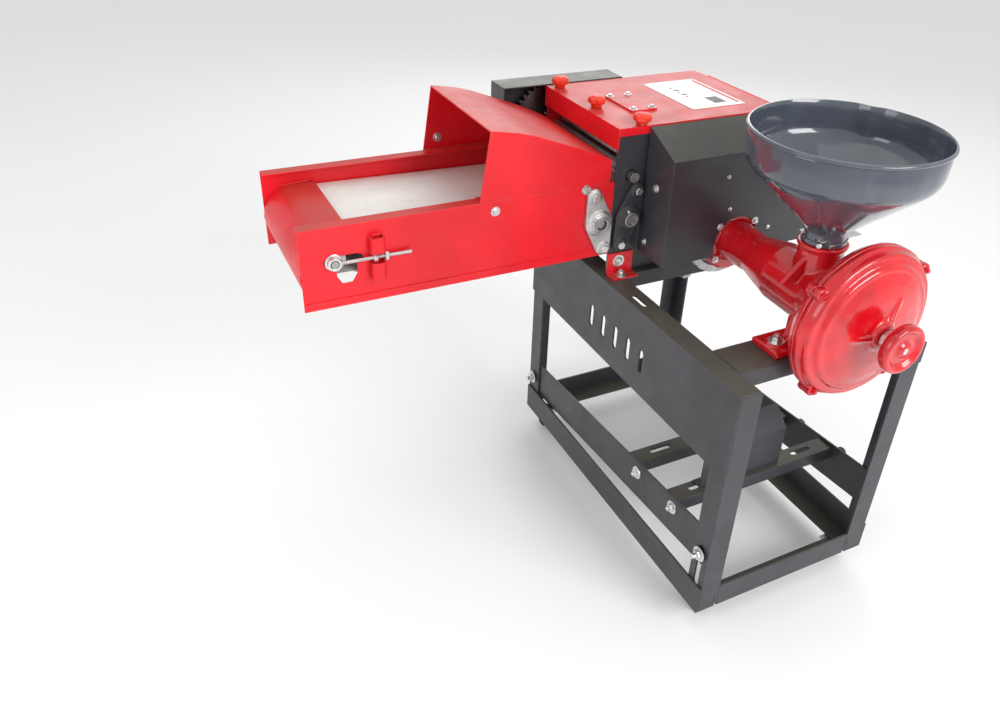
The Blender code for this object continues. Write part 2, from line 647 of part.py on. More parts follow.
def build_cover():
    """The hinged lid with its skirt, hatch plate and hinge barrel."""
    near, far = FEED_Y
    y = (near - 3, far + 3)
    left, right = HOUSING_X[0] - 3, COVER_HINGE[0] - 10
    z = HOUSING_TOP
    lid = box("top_cover", (left, right), y, (z - 2.5, z), RED)
    skirt = box("cover_left_skirt_part", (left, left + 2.5), y, (z - COVER_SKIRT, z - 1), RED)
    near_skirt = box("cover_near_skirt_part", (left, right), (y[0], y[0] + 2.5), (z - 14, z - 1), RED)
    far_skirt = box("cover_far_skirt_part", (left, right), (y[1] - 2.5, y[1]), (z - 14, z - 1), RED)
    barrel = rod("cover_barrel_part", "y", COVER_HINGE, near + 30, far - 30, 5.0, RED, 14)
    leaf_path = [(right - 4, z - 1), (COVER_HINGE[0], COVER_HINGE[1] + 3)]
    leaf = prism("cover_leaf_part", sheet_outline(leaf_path, -2.5), "y", near + 30, far - 30, RED)
    hatch = box("cover_hatch_part", (76, 128), (466, 558), (z - 1, z + 3), GREY)
    joined(lid, skirt, near_skirt, far_skirt, leaf, barrel, hatch)
    put_origin(lid, COVER_HINGE[0], near, COVER_HINGE[1])
    for name, x, y_knob in (("cover_knob_near", 58, near + 6), ("cover_knob_far", 30, far - 14)):
        profile = [(0, z + GAP), (10, z + GAP), (11, z + 4), (15, z + 7), (16, z + 15), (12, z + 19), (0, z + 20)]
        knob = turned(name, profile, "z", (x, y_knob), KNOB, steps=20)
        put_origin(knob, x, y_knob, z + GAP)


def drum_section(blades):
    """A hub with swept arms that carry the knives."""
    points = []
    for number in range(blades):
        start = 360.0 * number / blades
        points += arc(SHAFT, 42, start, start + 62, 5)
        tilt = math.radians(start + 70)
        tip = math.radians(start + 84)
        points.append((SHAFT[0] + 60 * math.cos(tilt), SHAFT[1] + 60 * math.sin(tilt)))
        points.append((SHAFT[0] + DRUM_R * math.cos(tip - 0.05), SHAFT[1] + DRUM_R * math.sin(tip - 0.05)))
        points.append((SHAFT[0] + (DRUM_R - 4) * math.cos(tip + 0.08), SHAFT[1] + (DRUM_R - 4) * math.sin(tip + 0.08)))
        points.append((SHAFT[0] + 56 * math.cos(tip + 0.02), SHAFT[1] + 56 * math.sin(tip + 0.02)))
    return points


def build_rotor():
    near, far = FEED_Y
    drum = prism("cutter_drum", drum_section(4), "y", near + 18, STAND_L - FLANGE - 4, STEEL)
    shaft = rod("drum_shaft_part", "y", SHAFT, MILL_FLANGE_Y + 6, far + 4, SHAFT_R, STEEL, 20)
    stub = rod("drum_stub_part", "y", SHAFT, far, FIRST_LAYER[1] + 2, SHAFT_R - 3, STEEL, 16)
    joined(drum, shaft, stub)
    put_origin(drum, SHAFT[0], near, SHAFT[1])


def build_gear_guard(idler):
    """A deep cover over the gear train: its face is far, and it is open towards the housing."""
    near, far = GEAR_GUARD_Y
    outline = [(-78, 506), (-78, 738), (176, 738), (284, 640), (284, 480), (60, 480)]
    guard = prism("gear_guard", outline, "y", near, far)
    t = 2.5
    inner = [(-78 + t, 506 + t), (-78 + t, 738 - t), (176 - t, 738 - t), (284 - t, 640 - t), (284 - t, 480 + t)]
    inner.append((60 + t, 480 + t))
    pin = rod("idler_pin_part", "y", idler, near + 2, far - 1, 8.0, STEEL, 16)
    cut(guard, prism("gear_guard_cutter", inner, "y", near - 5, far - t))
    return joined(guard, pin)


def build_belt_guard():
    """A sloped-top cover over the pulley, open at its foot, with a notch for the mill's neck."""
    near, far = GUARD_Y
    low, eaves, top = GUARD_Z
    section = [(near, low), (near, eaves), (far, top), (far, low)]
    guard = prism("belt_guard", section, "x", *GUARD_X)
    t = 2.5
    inner = [(near + t, low - 5), (near + t, eaves - t), (far + 5, top - t + 2), (far + 5, low - 5)]
    hollow = prism("belt_guard_cutter", inner, "x", GUARD_X[0] + t, GUARD_X[1] - t)
    notch_outline = [(SHAFT[0] - 46, low - 10), *arc(SHAFT, 46, 180, 0, 10), (SHAFT[0] + 46, low - 10)]
    notch = prism("belt_guard_notch", notch_outline, "y", near - 5, near + 6)
    return cut(guard, hollow, notch)


def build_pulley():
    low, high = PULLEY_Y
    bore = SHAFT_R + GAP
    profile = [(bore, low + 6), (30, low + 6), (30, low + 14), (PULLEY_R - 14, low + 14), (PULLEY_R - 14, low + 2)]
    profile += [(PULLEY_R, low + 2), (PULLEY_R, low + 5), (PULLEY_R - 9, low + 9), (PULLEY_R - 9, low + 13)]
    profile += [(PULLEY_R, low + 17), (PULLEY_R, low + 21), (PULLEY_R - 9, low + 25), (PULLEY_R - 9, low + 29)]
    profile += [(PULLEY_R, low + 33), (PULLEY_R, high - 3), (PULLEY_R - 14, high - 3), (PULLEY_R - 14, low + 22)]
    profile += [(30, low + 22), (30, high), (bore, high)]
    pulley = turned("drive_pulley", profile, "y", SHAFT, STEEL, ring=True)
    return put_origin(pulley, SHAFT[0], low, SHAFT[1])


# ---------------------------------------------------------------- disc mill

def mill_outlet_cutter(name):
    """The opening at the foot of the casing where the meal falls out."""
    half = MILL_OUTLET_W / 2
    return box(name, (SHAFT[0] - half, SHAFT[0] + half), (MILL_FACE_Y + 14, MILL_BACK_Y - 10),
               (SHAFT[1] - MILL_R - 8, SHAFT[1] - MILL_R + 26))


def build_mill_body():
    """The rear half of the casing with its neck, rear flange, hopper inlet and foot."""
    back, split = MILL_BACK_Y, MILL_SPLIT_Y
    bore = 18.0
    flange = MILL_FLANGE_Y - 10
    profile = [(bore, MILL_FLANGE_Y), (60, MILL_FLANGE_Y), (60, flange), (38, flange), (36, 250), (44, 215)]
    profile += [(52, 180), (54, 100), (64, 60), (66, back + 2), (MILL_R - 12, back), (MILL_R, back - 12)]
    profile += [(MILL_R + 4, split + 7), (MILL_R + 4, split), (MILL_R - 12, split), (MILL_R - 14, back - 6)]
    profile += [(58, back - 6), (34, 92), (34, 168), (bore, 176)]
    body = turned("mill_body", profile, "y", SHAFT, CAST, ring=True, steps=28)
    inlet = rod("mill_inlet_part", "z", HOPPER_AXIS, SHAFT[1] + 44, HOPPER_NECK_Z, 36.0, CAST, 24)
    bolt_x = 92.0
    low = STAND_H + GAP
    foot = box("mill_foot_part", (SHAFT[0] - bolt_x - 22, SHAFT[0] + bolt_x + 22),
               (CROSS_Y[0] + 8, CROSS_Y[1] - 4), (low, low + 12), CAST)
    web = [(SHAFT[0] - 62, low + 6), (SHAFT[0] - 50, 520), (SHAFT[0] + 50, 520), (SHAFT[0] + 62, low + 6)]
    pedestal = prism("mill_pedestal_part", web, "y", CROSS_Y[0] + 16, CROSS_Y[1] - 12, CAST)
    bolts = [rod(f"mill_foot_bolt_{n}_part", "z", (SHAFT[0] + side * bolt_x, 84), low + 11, low + 22, 9.0, ZINC, 6)
             for n, side in enumerate((-1, 1))]
    joined(body, inlet, foot, pedestal, *bolts)
    throat = rod("mill_throat_cutter", "z", HOPPER_AXIS, SHAFT[1] + 6, HOPPER_NECK_Z + 5, 27.0, steps=24)
    bowl = [(0, split), (57, split), (57, back - 6), (33, 92), (33, 168), (0, 168)]
    chamber = turned("mill_chamber_cutter", bowl, "y", SHAFT, steps=28)
    return cut(body, throat, chamber, mill_outlet_cutter("mill_body_outlet_cutter"))


def build_mill_cover():
    """The front half of the casing with its screw boss and its lugs."""
    face, split = MILL_FACE_Y, MILL_SPLIT_Y - GAP
    profile = [(9.4, face - 26), (20, face - 26), (24, face - 14), (54, face - 11), (80, face - 6)]
    profile += [(MILL_R - 22, face + 1), (MILL_R - 4, face + 10), (MILL_R + 4, split - 8), (MILL_R + 4, split)]
    profile += [(MILL_R - 12, split), (MILL_R - 14, face + 14), (MILL_R - 30, face + 8), (60, face)]
    profile += [(9.4, face - 3)]
    cover = turned("mill_front_cover", profile, "y", SHAFT, CAST, ring=True, steps=28)
    lugs = []
    for number, angle in enumerate((35, 145, 235, 305)):
        turn = math.radians(angle)
        centre = (SHAFT[0] + (MILL_R + 6) * math.cos(turn), SHAFT[1] + (MILL_R + 6) * math.sin(turn))
        lugs.append(rod(f"mill_lug_{number}_part", "y", centre, split - 14, split, 11.0, CAST, 16))
    return cut(joined(cover, *lugs), mill_outlet_cutter("mill_cover_outlet_cutter"))


def build_mill_insides():
    """The spindle with its feed worm and running disc, and the fixed disc in the front cover."""
    split = MILL_SPLIT_Y
    spindle = rod("mill_spindle", "y", SHAFT, split + 2, MILL_FLANGE_Y + 5.5, 14.0, STEEL, 20)
    running = rod("running_disc_part", "y", SHAFT, split + 8, split + 17, 92.0, STEEL, 24)
    worm = [rod(f"worm_{n}_part", "y", SHAFT, 98 + 22 * n, 104 + 22 * n, 26.0, STEEL, 16) for n in range(3)]
    joined(spindle, running, *worm)
    put_origin(spindle, SHAFT[0], split, SHAFT[1])
    fixed = [(20, split - 8), (92, split - 8), (92, split + 2), (60, split + 4.5), (20, split + 4.5)]
    disc = turned("fixed_disc", fixed, "y", SHAFT, STEEL, ring=True, steps=24)
    put_origin(disc, SHAFT[0], split, SHAFT[1])


def build_handwheel():
    """The plate-gap screw with its handwheel."""
    y = HANDWHEEL_Y
    profile = [(0, y - 6), (9, y - 6), (14, y - 2), (26, y + 2), (31, y - 5), (37, y - 5), (40, y + 1)]
    profile += [(39, y + 11), (33, y + 14), (20, y + 12), (9, y + 16), (9, MILL_FACE_Y + 12), (0, MILL_FACE_Y + 12)]
    wheel = turned("handwheel", profile, "y", SHAFT, CAST, steps=24)
    put_origin(wheel, SHAFT[0], y, SHAFT[1])
    low, high = MILL_FACE_Y - 40, MILL_FACE_Y - 27
    nut = [(10.6, low), (17, low), (17, high), (10.6, high)]
    lock_nut = turned("lock_nut", nut, "y", SHAFT, ZINC, ring=True, steps=6)
    put_origin(lock_nut, SHAFT[0], low, SHAFT[1])


def build_hopper():
    """A turned sheet bowl: rim, upright band, cone and neck."""
    rim, neck = HOPPER_RIM_Z, HOPPER_NECK_Z + GAP
    r = HOPPER_R
    out = [(33, neck), (33, neck + 22), (62, neck + 50), (100, neck + 84), (r - 10, neck + 122), (r - 3, neck + 132)]
    out += [(r - 3, rim - 6), (r, rim - 5), (r, rim)]
    inside = [(r - 5, rim), (r - 5.5, neck + 133), (r - 12, neck + 124), (100, neck + 87), (61, neck + 53), (30.5, neck + 23)]
    inside.append((30.5, neck))
    hopper = turned("hopper", out + inside, "z", HOPPER_AXIS, HOPPER_PAINT, ring=True, steps=28)
    slot = box("hopper_gate_cutter", (HOPPER_AXIS[0] - 31, HOPPER_AXIS[0] + 60),
               (HOPPER_AXIS[1] - 29, HOPPER_AXIS[1] + 29), (neck + 9, neck + 13))
    cut(hopper, slot)
    gate = box("hopper_gate", (HOPPER_AXIS[0] - 29, HOPPER_AXIS[0] + 52),
               (HOPPER_AXIS[1] - 26, HOPPER_AXIS[1] + 26), (neck + 10, neck + 12), ZINC)
    grip = box("gate_grip_part", (HOPPER_AXIS[0] + 49.5, HOPPER_AXIS[0] + 52),
               (HOPPER_AXIS[1] - 14, HOPPER_AXIS[1] + 14), (neck + 2, neck + 11), ZINC)
    joined(gate, grip)
    put_origin(gate, HOPPER_AXIS[0], HOPPER_AXIS[1], neck + 11)


def build_all():
    build_legs()
    build_side_plate()
    build_rails()
    build_castors()
    build_motor_base()
    build_tray()
    build_hood()
    build_conveyor()
    idler, idler_turn = build_gears()
    build_feed_rollers(idler, idler_turn)
    build_bearings()
    build_housing()
    build_cover()
    build_rotor()
    build_gear_guard(idler)
    build_belt_guard()
    build_pulley()
    build_mill_body()
    build_mill_cover()
    build_mill_insides()
    build_handwheel()
    build_hopper()


build_all()
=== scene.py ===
"""Looks of the combined forage cutter and grain mill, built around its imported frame.

Shapes here are drawn in millimetres from the foot corner of the near left leg, with X along the
feed, Y along the stand and Z up, as the frame's own pieces lie; MM turns them into metres.
"""

import json
import math
import random

import bmesh
import bpy
import numpy as np
from mathutils import Matrix, Vector, noise

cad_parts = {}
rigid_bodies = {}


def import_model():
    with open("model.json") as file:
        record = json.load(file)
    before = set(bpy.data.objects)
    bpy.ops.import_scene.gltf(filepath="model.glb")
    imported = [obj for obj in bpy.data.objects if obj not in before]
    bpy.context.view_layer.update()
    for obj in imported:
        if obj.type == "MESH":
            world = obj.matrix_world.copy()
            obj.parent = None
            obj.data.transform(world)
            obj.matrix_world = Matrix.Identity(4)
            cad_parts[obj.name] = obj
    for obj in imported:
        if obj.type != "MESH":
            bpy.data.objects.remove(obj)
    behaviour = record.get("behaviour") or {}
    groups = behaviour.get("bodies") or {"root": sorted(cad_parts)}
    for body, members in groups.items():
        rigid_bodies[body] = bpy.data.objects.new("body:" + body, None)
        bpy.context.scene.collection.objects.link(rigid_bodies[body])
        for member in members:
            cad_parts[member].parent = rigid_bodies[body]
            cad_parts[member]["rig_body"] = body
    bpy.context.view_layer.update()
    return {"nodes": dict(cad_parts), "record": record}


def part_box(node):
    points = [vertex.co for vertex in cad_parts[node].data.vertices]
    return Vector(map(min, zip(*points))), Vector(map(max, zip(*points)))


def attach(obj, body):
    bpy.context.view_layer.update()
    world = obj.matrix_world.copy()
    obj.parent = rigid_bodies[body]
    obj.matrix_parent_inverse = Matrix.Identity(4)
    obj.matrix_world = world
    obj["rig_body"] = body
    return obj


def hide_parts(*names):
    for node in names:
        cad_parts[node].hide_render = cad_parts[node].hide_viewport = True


MM = 0.001
RANDOM_SEED = 7

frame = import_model()
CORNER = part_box("base_rail_left")[0]
SLOT_OF = {part["node"]: part["material_slot"] for part in frame["record"]["subparts"]}
TO_WORLD = Matrix.Translation(CORNER) @ Matrix.Diagonal((MM, MM, MM, 1.0))


def in_mm(node):
    """(low, high) corners of a frame node in the stand's millimetres."""
    low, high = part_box(node)
    return (low - CORNER) / MM, (high - CORNER) / MM


def middle(node):
    low, high = in_mm(node)
    return (low + high) / 2


# ---------------- places read from the frame

STAND_HIGH = in_mm("top_rail_right")[1]
STAND_TOP = STAND_HIGH.z
COVER_LOW = in_mm("top_cover")[0]
LID_TOP = in_mm("cover_knob_near")[0].z - 0.3
HOOD_LOW = in_mm("hood")[0]
TRAY_LOW, TRAY_HIGH = in_mm("tray_wall_near")
FAR_WALL_HIGH = in_mm("tray_wall_far")[1]
GUARD_LOW, GUARD_HIGH = in_mm("belt_guard")
HOPPER_LOW, HOPPER_HIGH = in_mm("hopper")
MILL_BACK = in_mm("mill_body")[1].y
SHAFT = (middle("drive_pulley").x, middle("drive_pulley").z)
HOPPER_AXIS = (middle("hopper").x, middle("hopper").y)
TAIL = (middle("tail_roller").x, middle("tail_roller").z)
HEAD = (middle("head_roller").x, middle("head_roller").z)
LOWER_FEED = (middle("lower_feed_roller").x, middle("lower_feed_roller").z)
MILL_SPLIT = 18.0
MILL_FACE = -12.0
MILL_RIM = 128.0
LUG_ANGLES = (35, 145, 235, 305)
FLANGE_ANGLES = (40, 140, 220, 320)
FLANGE_BOLT_R = 50.0
FOOT_BOLT_X = 92.0
FOOT_BOLT_Y = 84.0
FOOT_HIGH = 15.0


# ---------------- material nodes

class Nodes:
    """A material's node tree, with short ways to add a node and to join two sockets."""

    def __init__(self, name):
        self.material = bpy.data.materials.new(name)
        self.material.use_nodes = True
        self.tree = self.material.node_tree
        self.shader = self.tree.nodes["Principled BSDF"]
        self.coordinates = self.add("ShaderNodeTexCoord").outputs["Object"]
        self.normal = None

    def add(self, kind, **settings):
        node = self.tree.nodes.new(kind)
        for key, value in settings.items():
            setattr(node, key, value)
        return node

    def join(self, source, target):
        self.tree.links.new(source, target)

    def noise(self, scale, detail=4.0, roughness=0.55, stretch=None):
        node = self.add("ShaderNodeTexNoise")
        node.inputs["Scale"].default_value = scale
        node.inputs["Detail"].default_value = detail
        node.inputs["Roughness"].default_value = roughness
        source = self.coordinates
        if stretch:
            mapping = self.add("ShaderNodeMapping")
            mapping.inputs["Scale"].default_value = stretch
            self.join(source, mapping.inputs["Vector"])
            source = mapping.outputs["Vector"]
        self.join(source, node.inputs["Vector"])
        return node.outputs["Fac"]

    def cells(self, scale):
        node = self.add("ShaderNodeTexVoronoi")
        node.inputs["Scale"].default_value = scale
        self.join(self.coordinates, node.inputs["Vector"])
        return node.outputs["Distance"]

    def remap(self, source, low, high, to_low=0.0, to_high=1.0):
        node = self.add("ShaderNodeMapRange")
        self.join(source, node.inputs["Value"])
        limits = {"From Min": low, "From Max": high, "To Min": to_low, "To Max": to_high}
        for name, value in limits.items():
            node.inputs[name].default_value = value
        return node.outputs["Result"]

    def times(self, first, second):
        node = self.add("ShaderNodeMath", operation="MULTIPLY")
        self.join(first, node.inputs[0])
        self.join(second, node.inputs[1])
        return node.outputs[0]

    def mix(self, share, first, second):
        """Colours mixed by share. Each is a socket or an (r, g, b)."""
        node = self.add("ShaderNodeMix", data_type="RGBA")
        self.join(share, node.inputs["Factor"])
        for name, value in (("A", first), ("B", second)):
            socket = [s for s in node.inputs if s.name == name and s.type == "RGBA"][0]
            if isinstance(value, tuple):
                socket.default_value = (*value, 1.0)
            else:
                self.join(value, socket)
        return [s for s in node.outputs if s.type == "RGBA"][0]

    def edges(self, radius_mm, low=0.02, high=0.25):
        """1 along convex and concave edges, 0 on flat faces."""
        bevel = self.add("ShaderNodeBevel", samples=4)
        bevel.inputs["Radius"].default_value = radius_mm * MM
        geometry = self.add("ShaderNodeNewGeometry")
        dot = self.add("ShaderNodeVectorMath", operation="DOT_PRODUCT")
        self.join(bevel.outputs["Normal"], dot.inputs[0])
        self.join(geometry.outputs["Normal"], dot.inputs[1])
        return self.remap(dot.outputs["Value"], 1.0 - low, 1.0 - high)

    def upward(self):
        """1 on faces that look up, 0 on walls."""
        geometry = self.add("ShaderNodeNewGeometry")
        split = self.add("ShaderNodeSeparateXYZ")
        self.join(geometry.outputs["Normal"], split.inputs[0])
        return self.remap(split.outputs["Z"], 0.75, 0.98)

    def bump(self, height, depth_mm, strength):
        node = self.add("ShaderNodeBump")
        node.inputs["Strength"].default_value = strength
        node.inputs["Distance"].default_value = depth_mm * MM
        self.join(height, node.inputs["Height"])
        if self.normal:
            self.join(self.normal, node.inputs["Normal"])
        self.normal = node.outputs["Normal"]

    def set(self, **values):
        """Gives the shader's inputs, each a number or another node's output."""
        for name, value in values.items():
            socket = self.shader.inputs[name.replace("_", " ")]
            if isinstance(value, float):
                socket.default_value = value
            else:
                self.join(value, socket)

    def done(self):
        if self.normal:
            self.join(self.normal, self.shader.inputs["Normal"])
        return self.material


def sheet_paint(name, base, shade, top_dust_and_lighting, worn, gloss):
    """Gloss paint on sheet: slow colour drift, dust mixed with painted top-face shading on top faces, pale
    worn edges, orange peel.
    """
    n = Nodes(name)
    drift = n.remap(n.noise(7.0, 3.0), 0.35, 0.65)
    color = n.mix(drift, shade, base)
    blotch = n.remap(n.noise(42.0, 5.0), 0.52, 0.72, 0.0, 0.35)
    color = n.mix(blotch, color, tuple(0.86 * c for c in base))
    # Top faces get dust mixed with painted shading, darker on red and paler on grey, as the tops look
    # under the light.
    top_dust_and_lighting_share = n.times(n.upward(), n.remap(n.noise(16.0, 6.0), 0.25, 0.7, 0.55, 1.0))
    color = n.mix(top_dust_and_lighting_share, color, top_dust_and_lighting)
    wear = n.times(n.edges(1.6), n.remap(n.noise(90.0, 5.0), 0.45, 0.62))
    color = n.mix(wear, color, worn)
    n.set(Base_Color=color)
    n.set(Roughness=n.remap(n.noise(26.0, 5.0), 0.3, 0.7, gloss, gloss + 0.16))
    n.set(Coat_Weight=0.18, Coat_Roughness=0.2, IOR=1.45)
    n.bump(n.noise(420.0, 2.0), 0.05, 0.35)
    n.bump(n.noise(9.0, 2.0), 0.8, 0.10)
    return n.done()


def cast_paint(name, base, shade, worn):
    """Thick gloss paint over a sand casting: lumps, pits with painted shade in them, and worn high spots.
    """
    n = Nodes(name)
    drift = n.remap(n.noise(14.0, 5.0), 0.35, 0.68)
    color = n.mix(drift, shade, base)
    pits = n.remap(n.cells(170.0), 0.0, 0.22, 1.0, 0.0)
    rare = n.remap(n.noise(22.0, 2.0), 0.55, 0.68)
    # The pits are painted darker with the shade colour: painted shade in the pits.
    color = n.mix(n.times(pits, rare), color, shade)
    wear = n.times(n.edges(2.2, 0.03, 0.3), n.remap(n.noise(70.0, 5.0), 0.5, 0.68, 0.0, 0.35))
    color = n.mix(wear, color, worn)
    n.set(Base_Color=color)
    n.set(Roughness=n.remap(n.noise(60.0, 5.0), 0.3, 0.7, 0.16, 0.30))
    n.set(Coat_Weight=0.7, Coat_Roughness=0.05, IOR=1.5)
    n.bump(n.noise(55.0, 4.0, 0.5), 0.9, 0.45)
    n.bump(n.noise(260.0, 4.0), 0.18, 0.35)
    n.bump(n.times(pits, rare), -0.5, 0.6)
    return n.done()


def gloss_paint(name, base, shade, worn):
    """Deep, very glossy paint of the spun hopper, with runs and worn edges."""
    n = Nodes(name)
    drift = n.remap(n.noise(9.0, 4.0), 0.35, 0.7)
    color = n.mix(drift, shade, base)
    runs = n.remap(n.noise(30.0, 3.0, 0.5, (1.0, 1.0, 0.15)), 0.56, 0.74, 0.0, 0.6)
    color = n.mix(runs, color, tuple(1.25 * c for c in base))
    wear = n.times(n.edges(1.5), n.remap(n.noise(80.0, 4.0), 0.42, 0.6))
    color = n.mix(wear, color, worn)
    n.set(Base_Color=color)
    n.set(Roughness=n.remap(n.noise(35.0, 5.0), 0.3, 0.7, 0.10, 0.24))
    n.set(Coat_Weight=0.8, Coat_Roughness=0.05, IOR=1.5)
    n.bump(n.noise(11.0, 2.0), 1.2, 0.14)
    n.bump(n.noise(300.0, 2.0), 0.04, 0.35)
    return n.done()


def bare_metal(name, base, shade, roughness, stretch, stain):
    """Machined or plated metal: fine lines, blotches and dull stains in random spots."""
    n = Nodes(name)
    drift = n.remap(n.noise(55.0, 5.0), 0.3, 0.7)
    color = n.mix(drift, shade, base)
    spots = n.remap(n.noise(120.0, 6.0), 0.58, 0.72, 0.0, 0.7)
    color = n.mix(spots, color, stain)
    n.set(Base_Color=color, Metallic=1.0)
    lines = n.noise(40.0, 3.0, 0.6, stretch)
    n.set(Roughness=n.remap(lines, 0.25, 0.75, roughness, roughness + 0.22))
    n.bump(lines, 0.06, 0.5)
    n.bump(n.noise(200.0, 3.0), 0.05, 0.4)
    return n.done()


def rubber(name):
    n = Nodes(name)
    color = n.mix(n.remap(n.noise(50.0, 5.0), 0.35, 0.7), (0.012, 0.012, 0.013), (0.035, 0.034, 0.033))
    color = n.mix(n.times(n.edges(1.2), n.noise(130.0)), color, (0.10, 0.095, 0.09))
    n.set(Base_Color=color, Roughness=n.remap(n.noise(90.0), 0.3, 0.7, 0.55, 0.85))
    n.bump(n.noise(500.0, 3.0), 0.08, 0.5)
    return n.done()


def belting(name):
    """Off-white conveyor belting with a fabric weave pressed into its face."""
    n = Nodes(name)
    wave_x = n.add("ShaderNodeTexWave", wave_type="BANDS", bands_direction="X")
    wave_y = n.add("ShaderNodeTexWave", wave_type="BANDS", bands_direction="Y")
    for wave in (wave_x, wave_y):
        wave.inputs["Scale"].default_value = 160.0
        n.join(n.coordinates, wave.inputs["Vector"])
    weave = n.times(wave_x.outputs["Fac"], wave_y.outputs["Fac"])
    color = n.mix(n.remap(n.noise(12.0, 6.0), 0.35, 0.7), (0.82, 0.82, 0.79), (0.72, 0.71, 0.66))
    color = n.mix(n.remap(n.noise(60.0, 6.0), 0.58, 0.75, 0.0, 0.4), color, (0.55, 0.53, 0.46))
    n.set(Base_Color=color, Roughness=n.remap(n.noise(40.0), 0.3, 0.7, 0.45, 0.65))
    n.bump(weave, 0.25, 0.6)
    return n.done()


def moulded(name, base, shade):
    n = Nodes(name)
    color = n.mix(n.remap(n.noise(60.0, 4.0), 0.35, 0.7), shade, base)
    worn = tuple(min(1.0, 1.5 * c + 0.05) for c in base)
    color = n.mix(n.times(n.edges(1.0), n.noise(150.0)), color, worn)
    n.set(Base_Color=color, Roughness=n.remap(n.noise(90.0), 0.3, 0.7, 0.30, 0.46))
    n.set(Subsurface_Weight=0.08, Subsurface_Scale=0.004)
    n.bump(n.noise(600.0, 2.0), 0.04, 0.4)
    return n.done()


def label_print(name):
    """A white plate with faint handling marks."""
    n = Nodes(name)
    color = n.mix(n.remap(n.noise(30.0, 6.0), 0.45, 0.75), (0.86, 0.84, 0.83), (0.70, 0.62, 0.60))
    n.set(Base_Color=color, Roughness=n.remap(n.noise(40.0), 0.3, 0.7, 0.25, 0.4), Coat_Weight=0.3)
    n.bump(n.noise(120.0, 3.0), 0.05, 0.3)
    return n.done()


# The fourth colour of each paint is top-face dust with painted top-face shading in it.
RED = sheet_paint("red_sheet_paint", (0.86, 0.006, 0.018), (0.66, 0.003, 0.010), (0.46, 0.040, 0.028),
                  (0.72, 0.09, 0.07), 0.36)
GREY = sheet_paint("grey_sheet_paint", (0.046, 0.046, 0.055), (0.031, 0.030, 0.036), (0.080, 0.078, 0.058),
                   (0.15, 0.15, 0.15), 0.38)
HOPPER = gloss_paint("hopper_gloss_paint", (0.080, 0.092, 0.118), (0.058, 0.068, 0.090),
                     (0.34, 0.36, 0.38))
CAST = cast_paint("red_cast_paint", (0.76, 0.005, 0.013), (0.46, 0.002, 0.007), (0.74, 0.07, 0.055))
STEEL = bare_metal("machined_steel", (0.50, 0.50, 0.51), (0.36, 0.36, 0.38), 0.26, (1.0, 14.0, 1.0),
                   (0.20, 0.15, 0.11))
ZINC = bare_metal("zinc_plate", (0.80, 0.80, 0.78), (0.62, 0.62, 0.62), 0.22, (1.0, 1.0, 10.0),
                  (0.42, 0.40, 0.34))
ALLOY = bare_metal("cast_alloy", (0.70, 0.70, 0.69), (0.52, 0.52, 0.52), 0.38, (1.0, 1.0, 1.0),
                   (0.34, 0.33, 0.30))
RUBBER = rubber("castor_rubber")
BELTING = belting("conveyor_belting")
KNOB = moulded("orange_knob", (0.90, 0.055, 0.018), (0.68, 0.030, 0.010))
LABEL = label_print("label_white")
INK_DARK = moulded("label_dark_block", (0.040, 0.040, 0.045), (0.025, 0.025, 0.030))
INK_RED = moulded("label_red_block", (0.62, 0.03, 0.03), (0.50, 0.02, 0.02))

FINISH = {
    "red_paint": RED, "grey_paint": GREY, "hopper_paint": HOPPER, "bare_steel": STEEL,
    "zinc_plate": ZINC, "bearing_alloy": ALLOY, "red_casting": CAST, "black_rubber": RUBBER,
    "conveyor_pvc": BELTING, "orange_knob": KNOB,
}
SLOT_FOR = {material: slot for slot, material in FINISH.items()}
SLOT_FOR.update({LABEL: "conveyor_pvc", INK_DARK: "orange_knob", INK_RED: "orange_knob"})


# ---------------- mesh helpers, in millimetres

def along(axis, a, b, h):
    """The point at (a, b) across this axis and h along it, with a and b in X, Y, Z order."""
    return {"x": (h, a, b), "y": (a, h, b), "z": (a, b, h)}[axis]


def add_prism(bm, outline, axis, low, high):
    face = bm.faces.new([bm.verts.new(along(axis, a, b, low)) for a, b in outline])
    walls = bmesh.ops.extrude_face_region(bm, geom=[face])["geom"]
    top = [item for item in walls if isinstance(item, bmesh.types.BMVert)]
    bmesh.ops.translate(bm, vec=along(axis, 0, 0, high - low), verts=top)


def add_box(bm, x, y, z):
    add_prism(bm, [(x[0], y[0]), (x[1], y[0]), (x[1], y[1]), (x[0], y[1])], "z", z[0], z[1])


def add_turned(bm, profile, axis, centre, steps=48, ring=False, shape=None):
    """Turns (radius, height) points round the axis. shape(radius, height, angle) may change a radius."""
    rows = []
    for radius, height in profile:
        if radius == 0:
            rows.append([bm.verts.new(along(axis, *centre, height))] * steps)
            continue
        row = []
        for step in range(steps):
            t = 2 * math.pi * step / steps
            r = shape(radius, height, t) if shape else radius
            spot = (centre[0] + r * math.cos(t), centre[1] + r * math.sin(t))
            row.append(bm.verts.new(along(axis, *spot, height)))
        rows.append(row)
    pairs = list(zip(rows, rows[1:] + rows[:1])) if ring else list(zip(rows, rows[1:]))
    for lower, upper in pairs:
        for step in range(steps):
            after = (step + 1) % steps
            corners = dict.fromkeys([lower[step], lower[after], upper[after], upper[step]])
            bm.faces.new(list(corners))


def add_rod(bm, axis, centre, radius, low, high, steps=24):
    add_turned(bm, [(0, low), (radius, low), (radius, high), (0, high)], axis, centre, steps)


def rounded(profile, radius, steps=3):
    """The same line with each corner between its ends turned into a short curve."""
    points = [Vector(p) for p in profile]
    out = [tuple(points[0])]
    for before, point, after in zip(points, points[1:], points[2:]):
        reach_in = min(radius, (before - point).length * 0.45)
        reach_out = min(radius, (after - point).length * 0.45)
        start = point + (before - point).normalized() * reach_in
        end = point + (after - point).normalized() * reach_out
        for step in range(steps + 1):
            t = step / steps
            spot = start * (1 - t) ** 2 + point * 2 * t * (1 - t) + end * t ** 2
            out.append(tuple(spot))
    out.append(tuple(points[-1]))
    return out


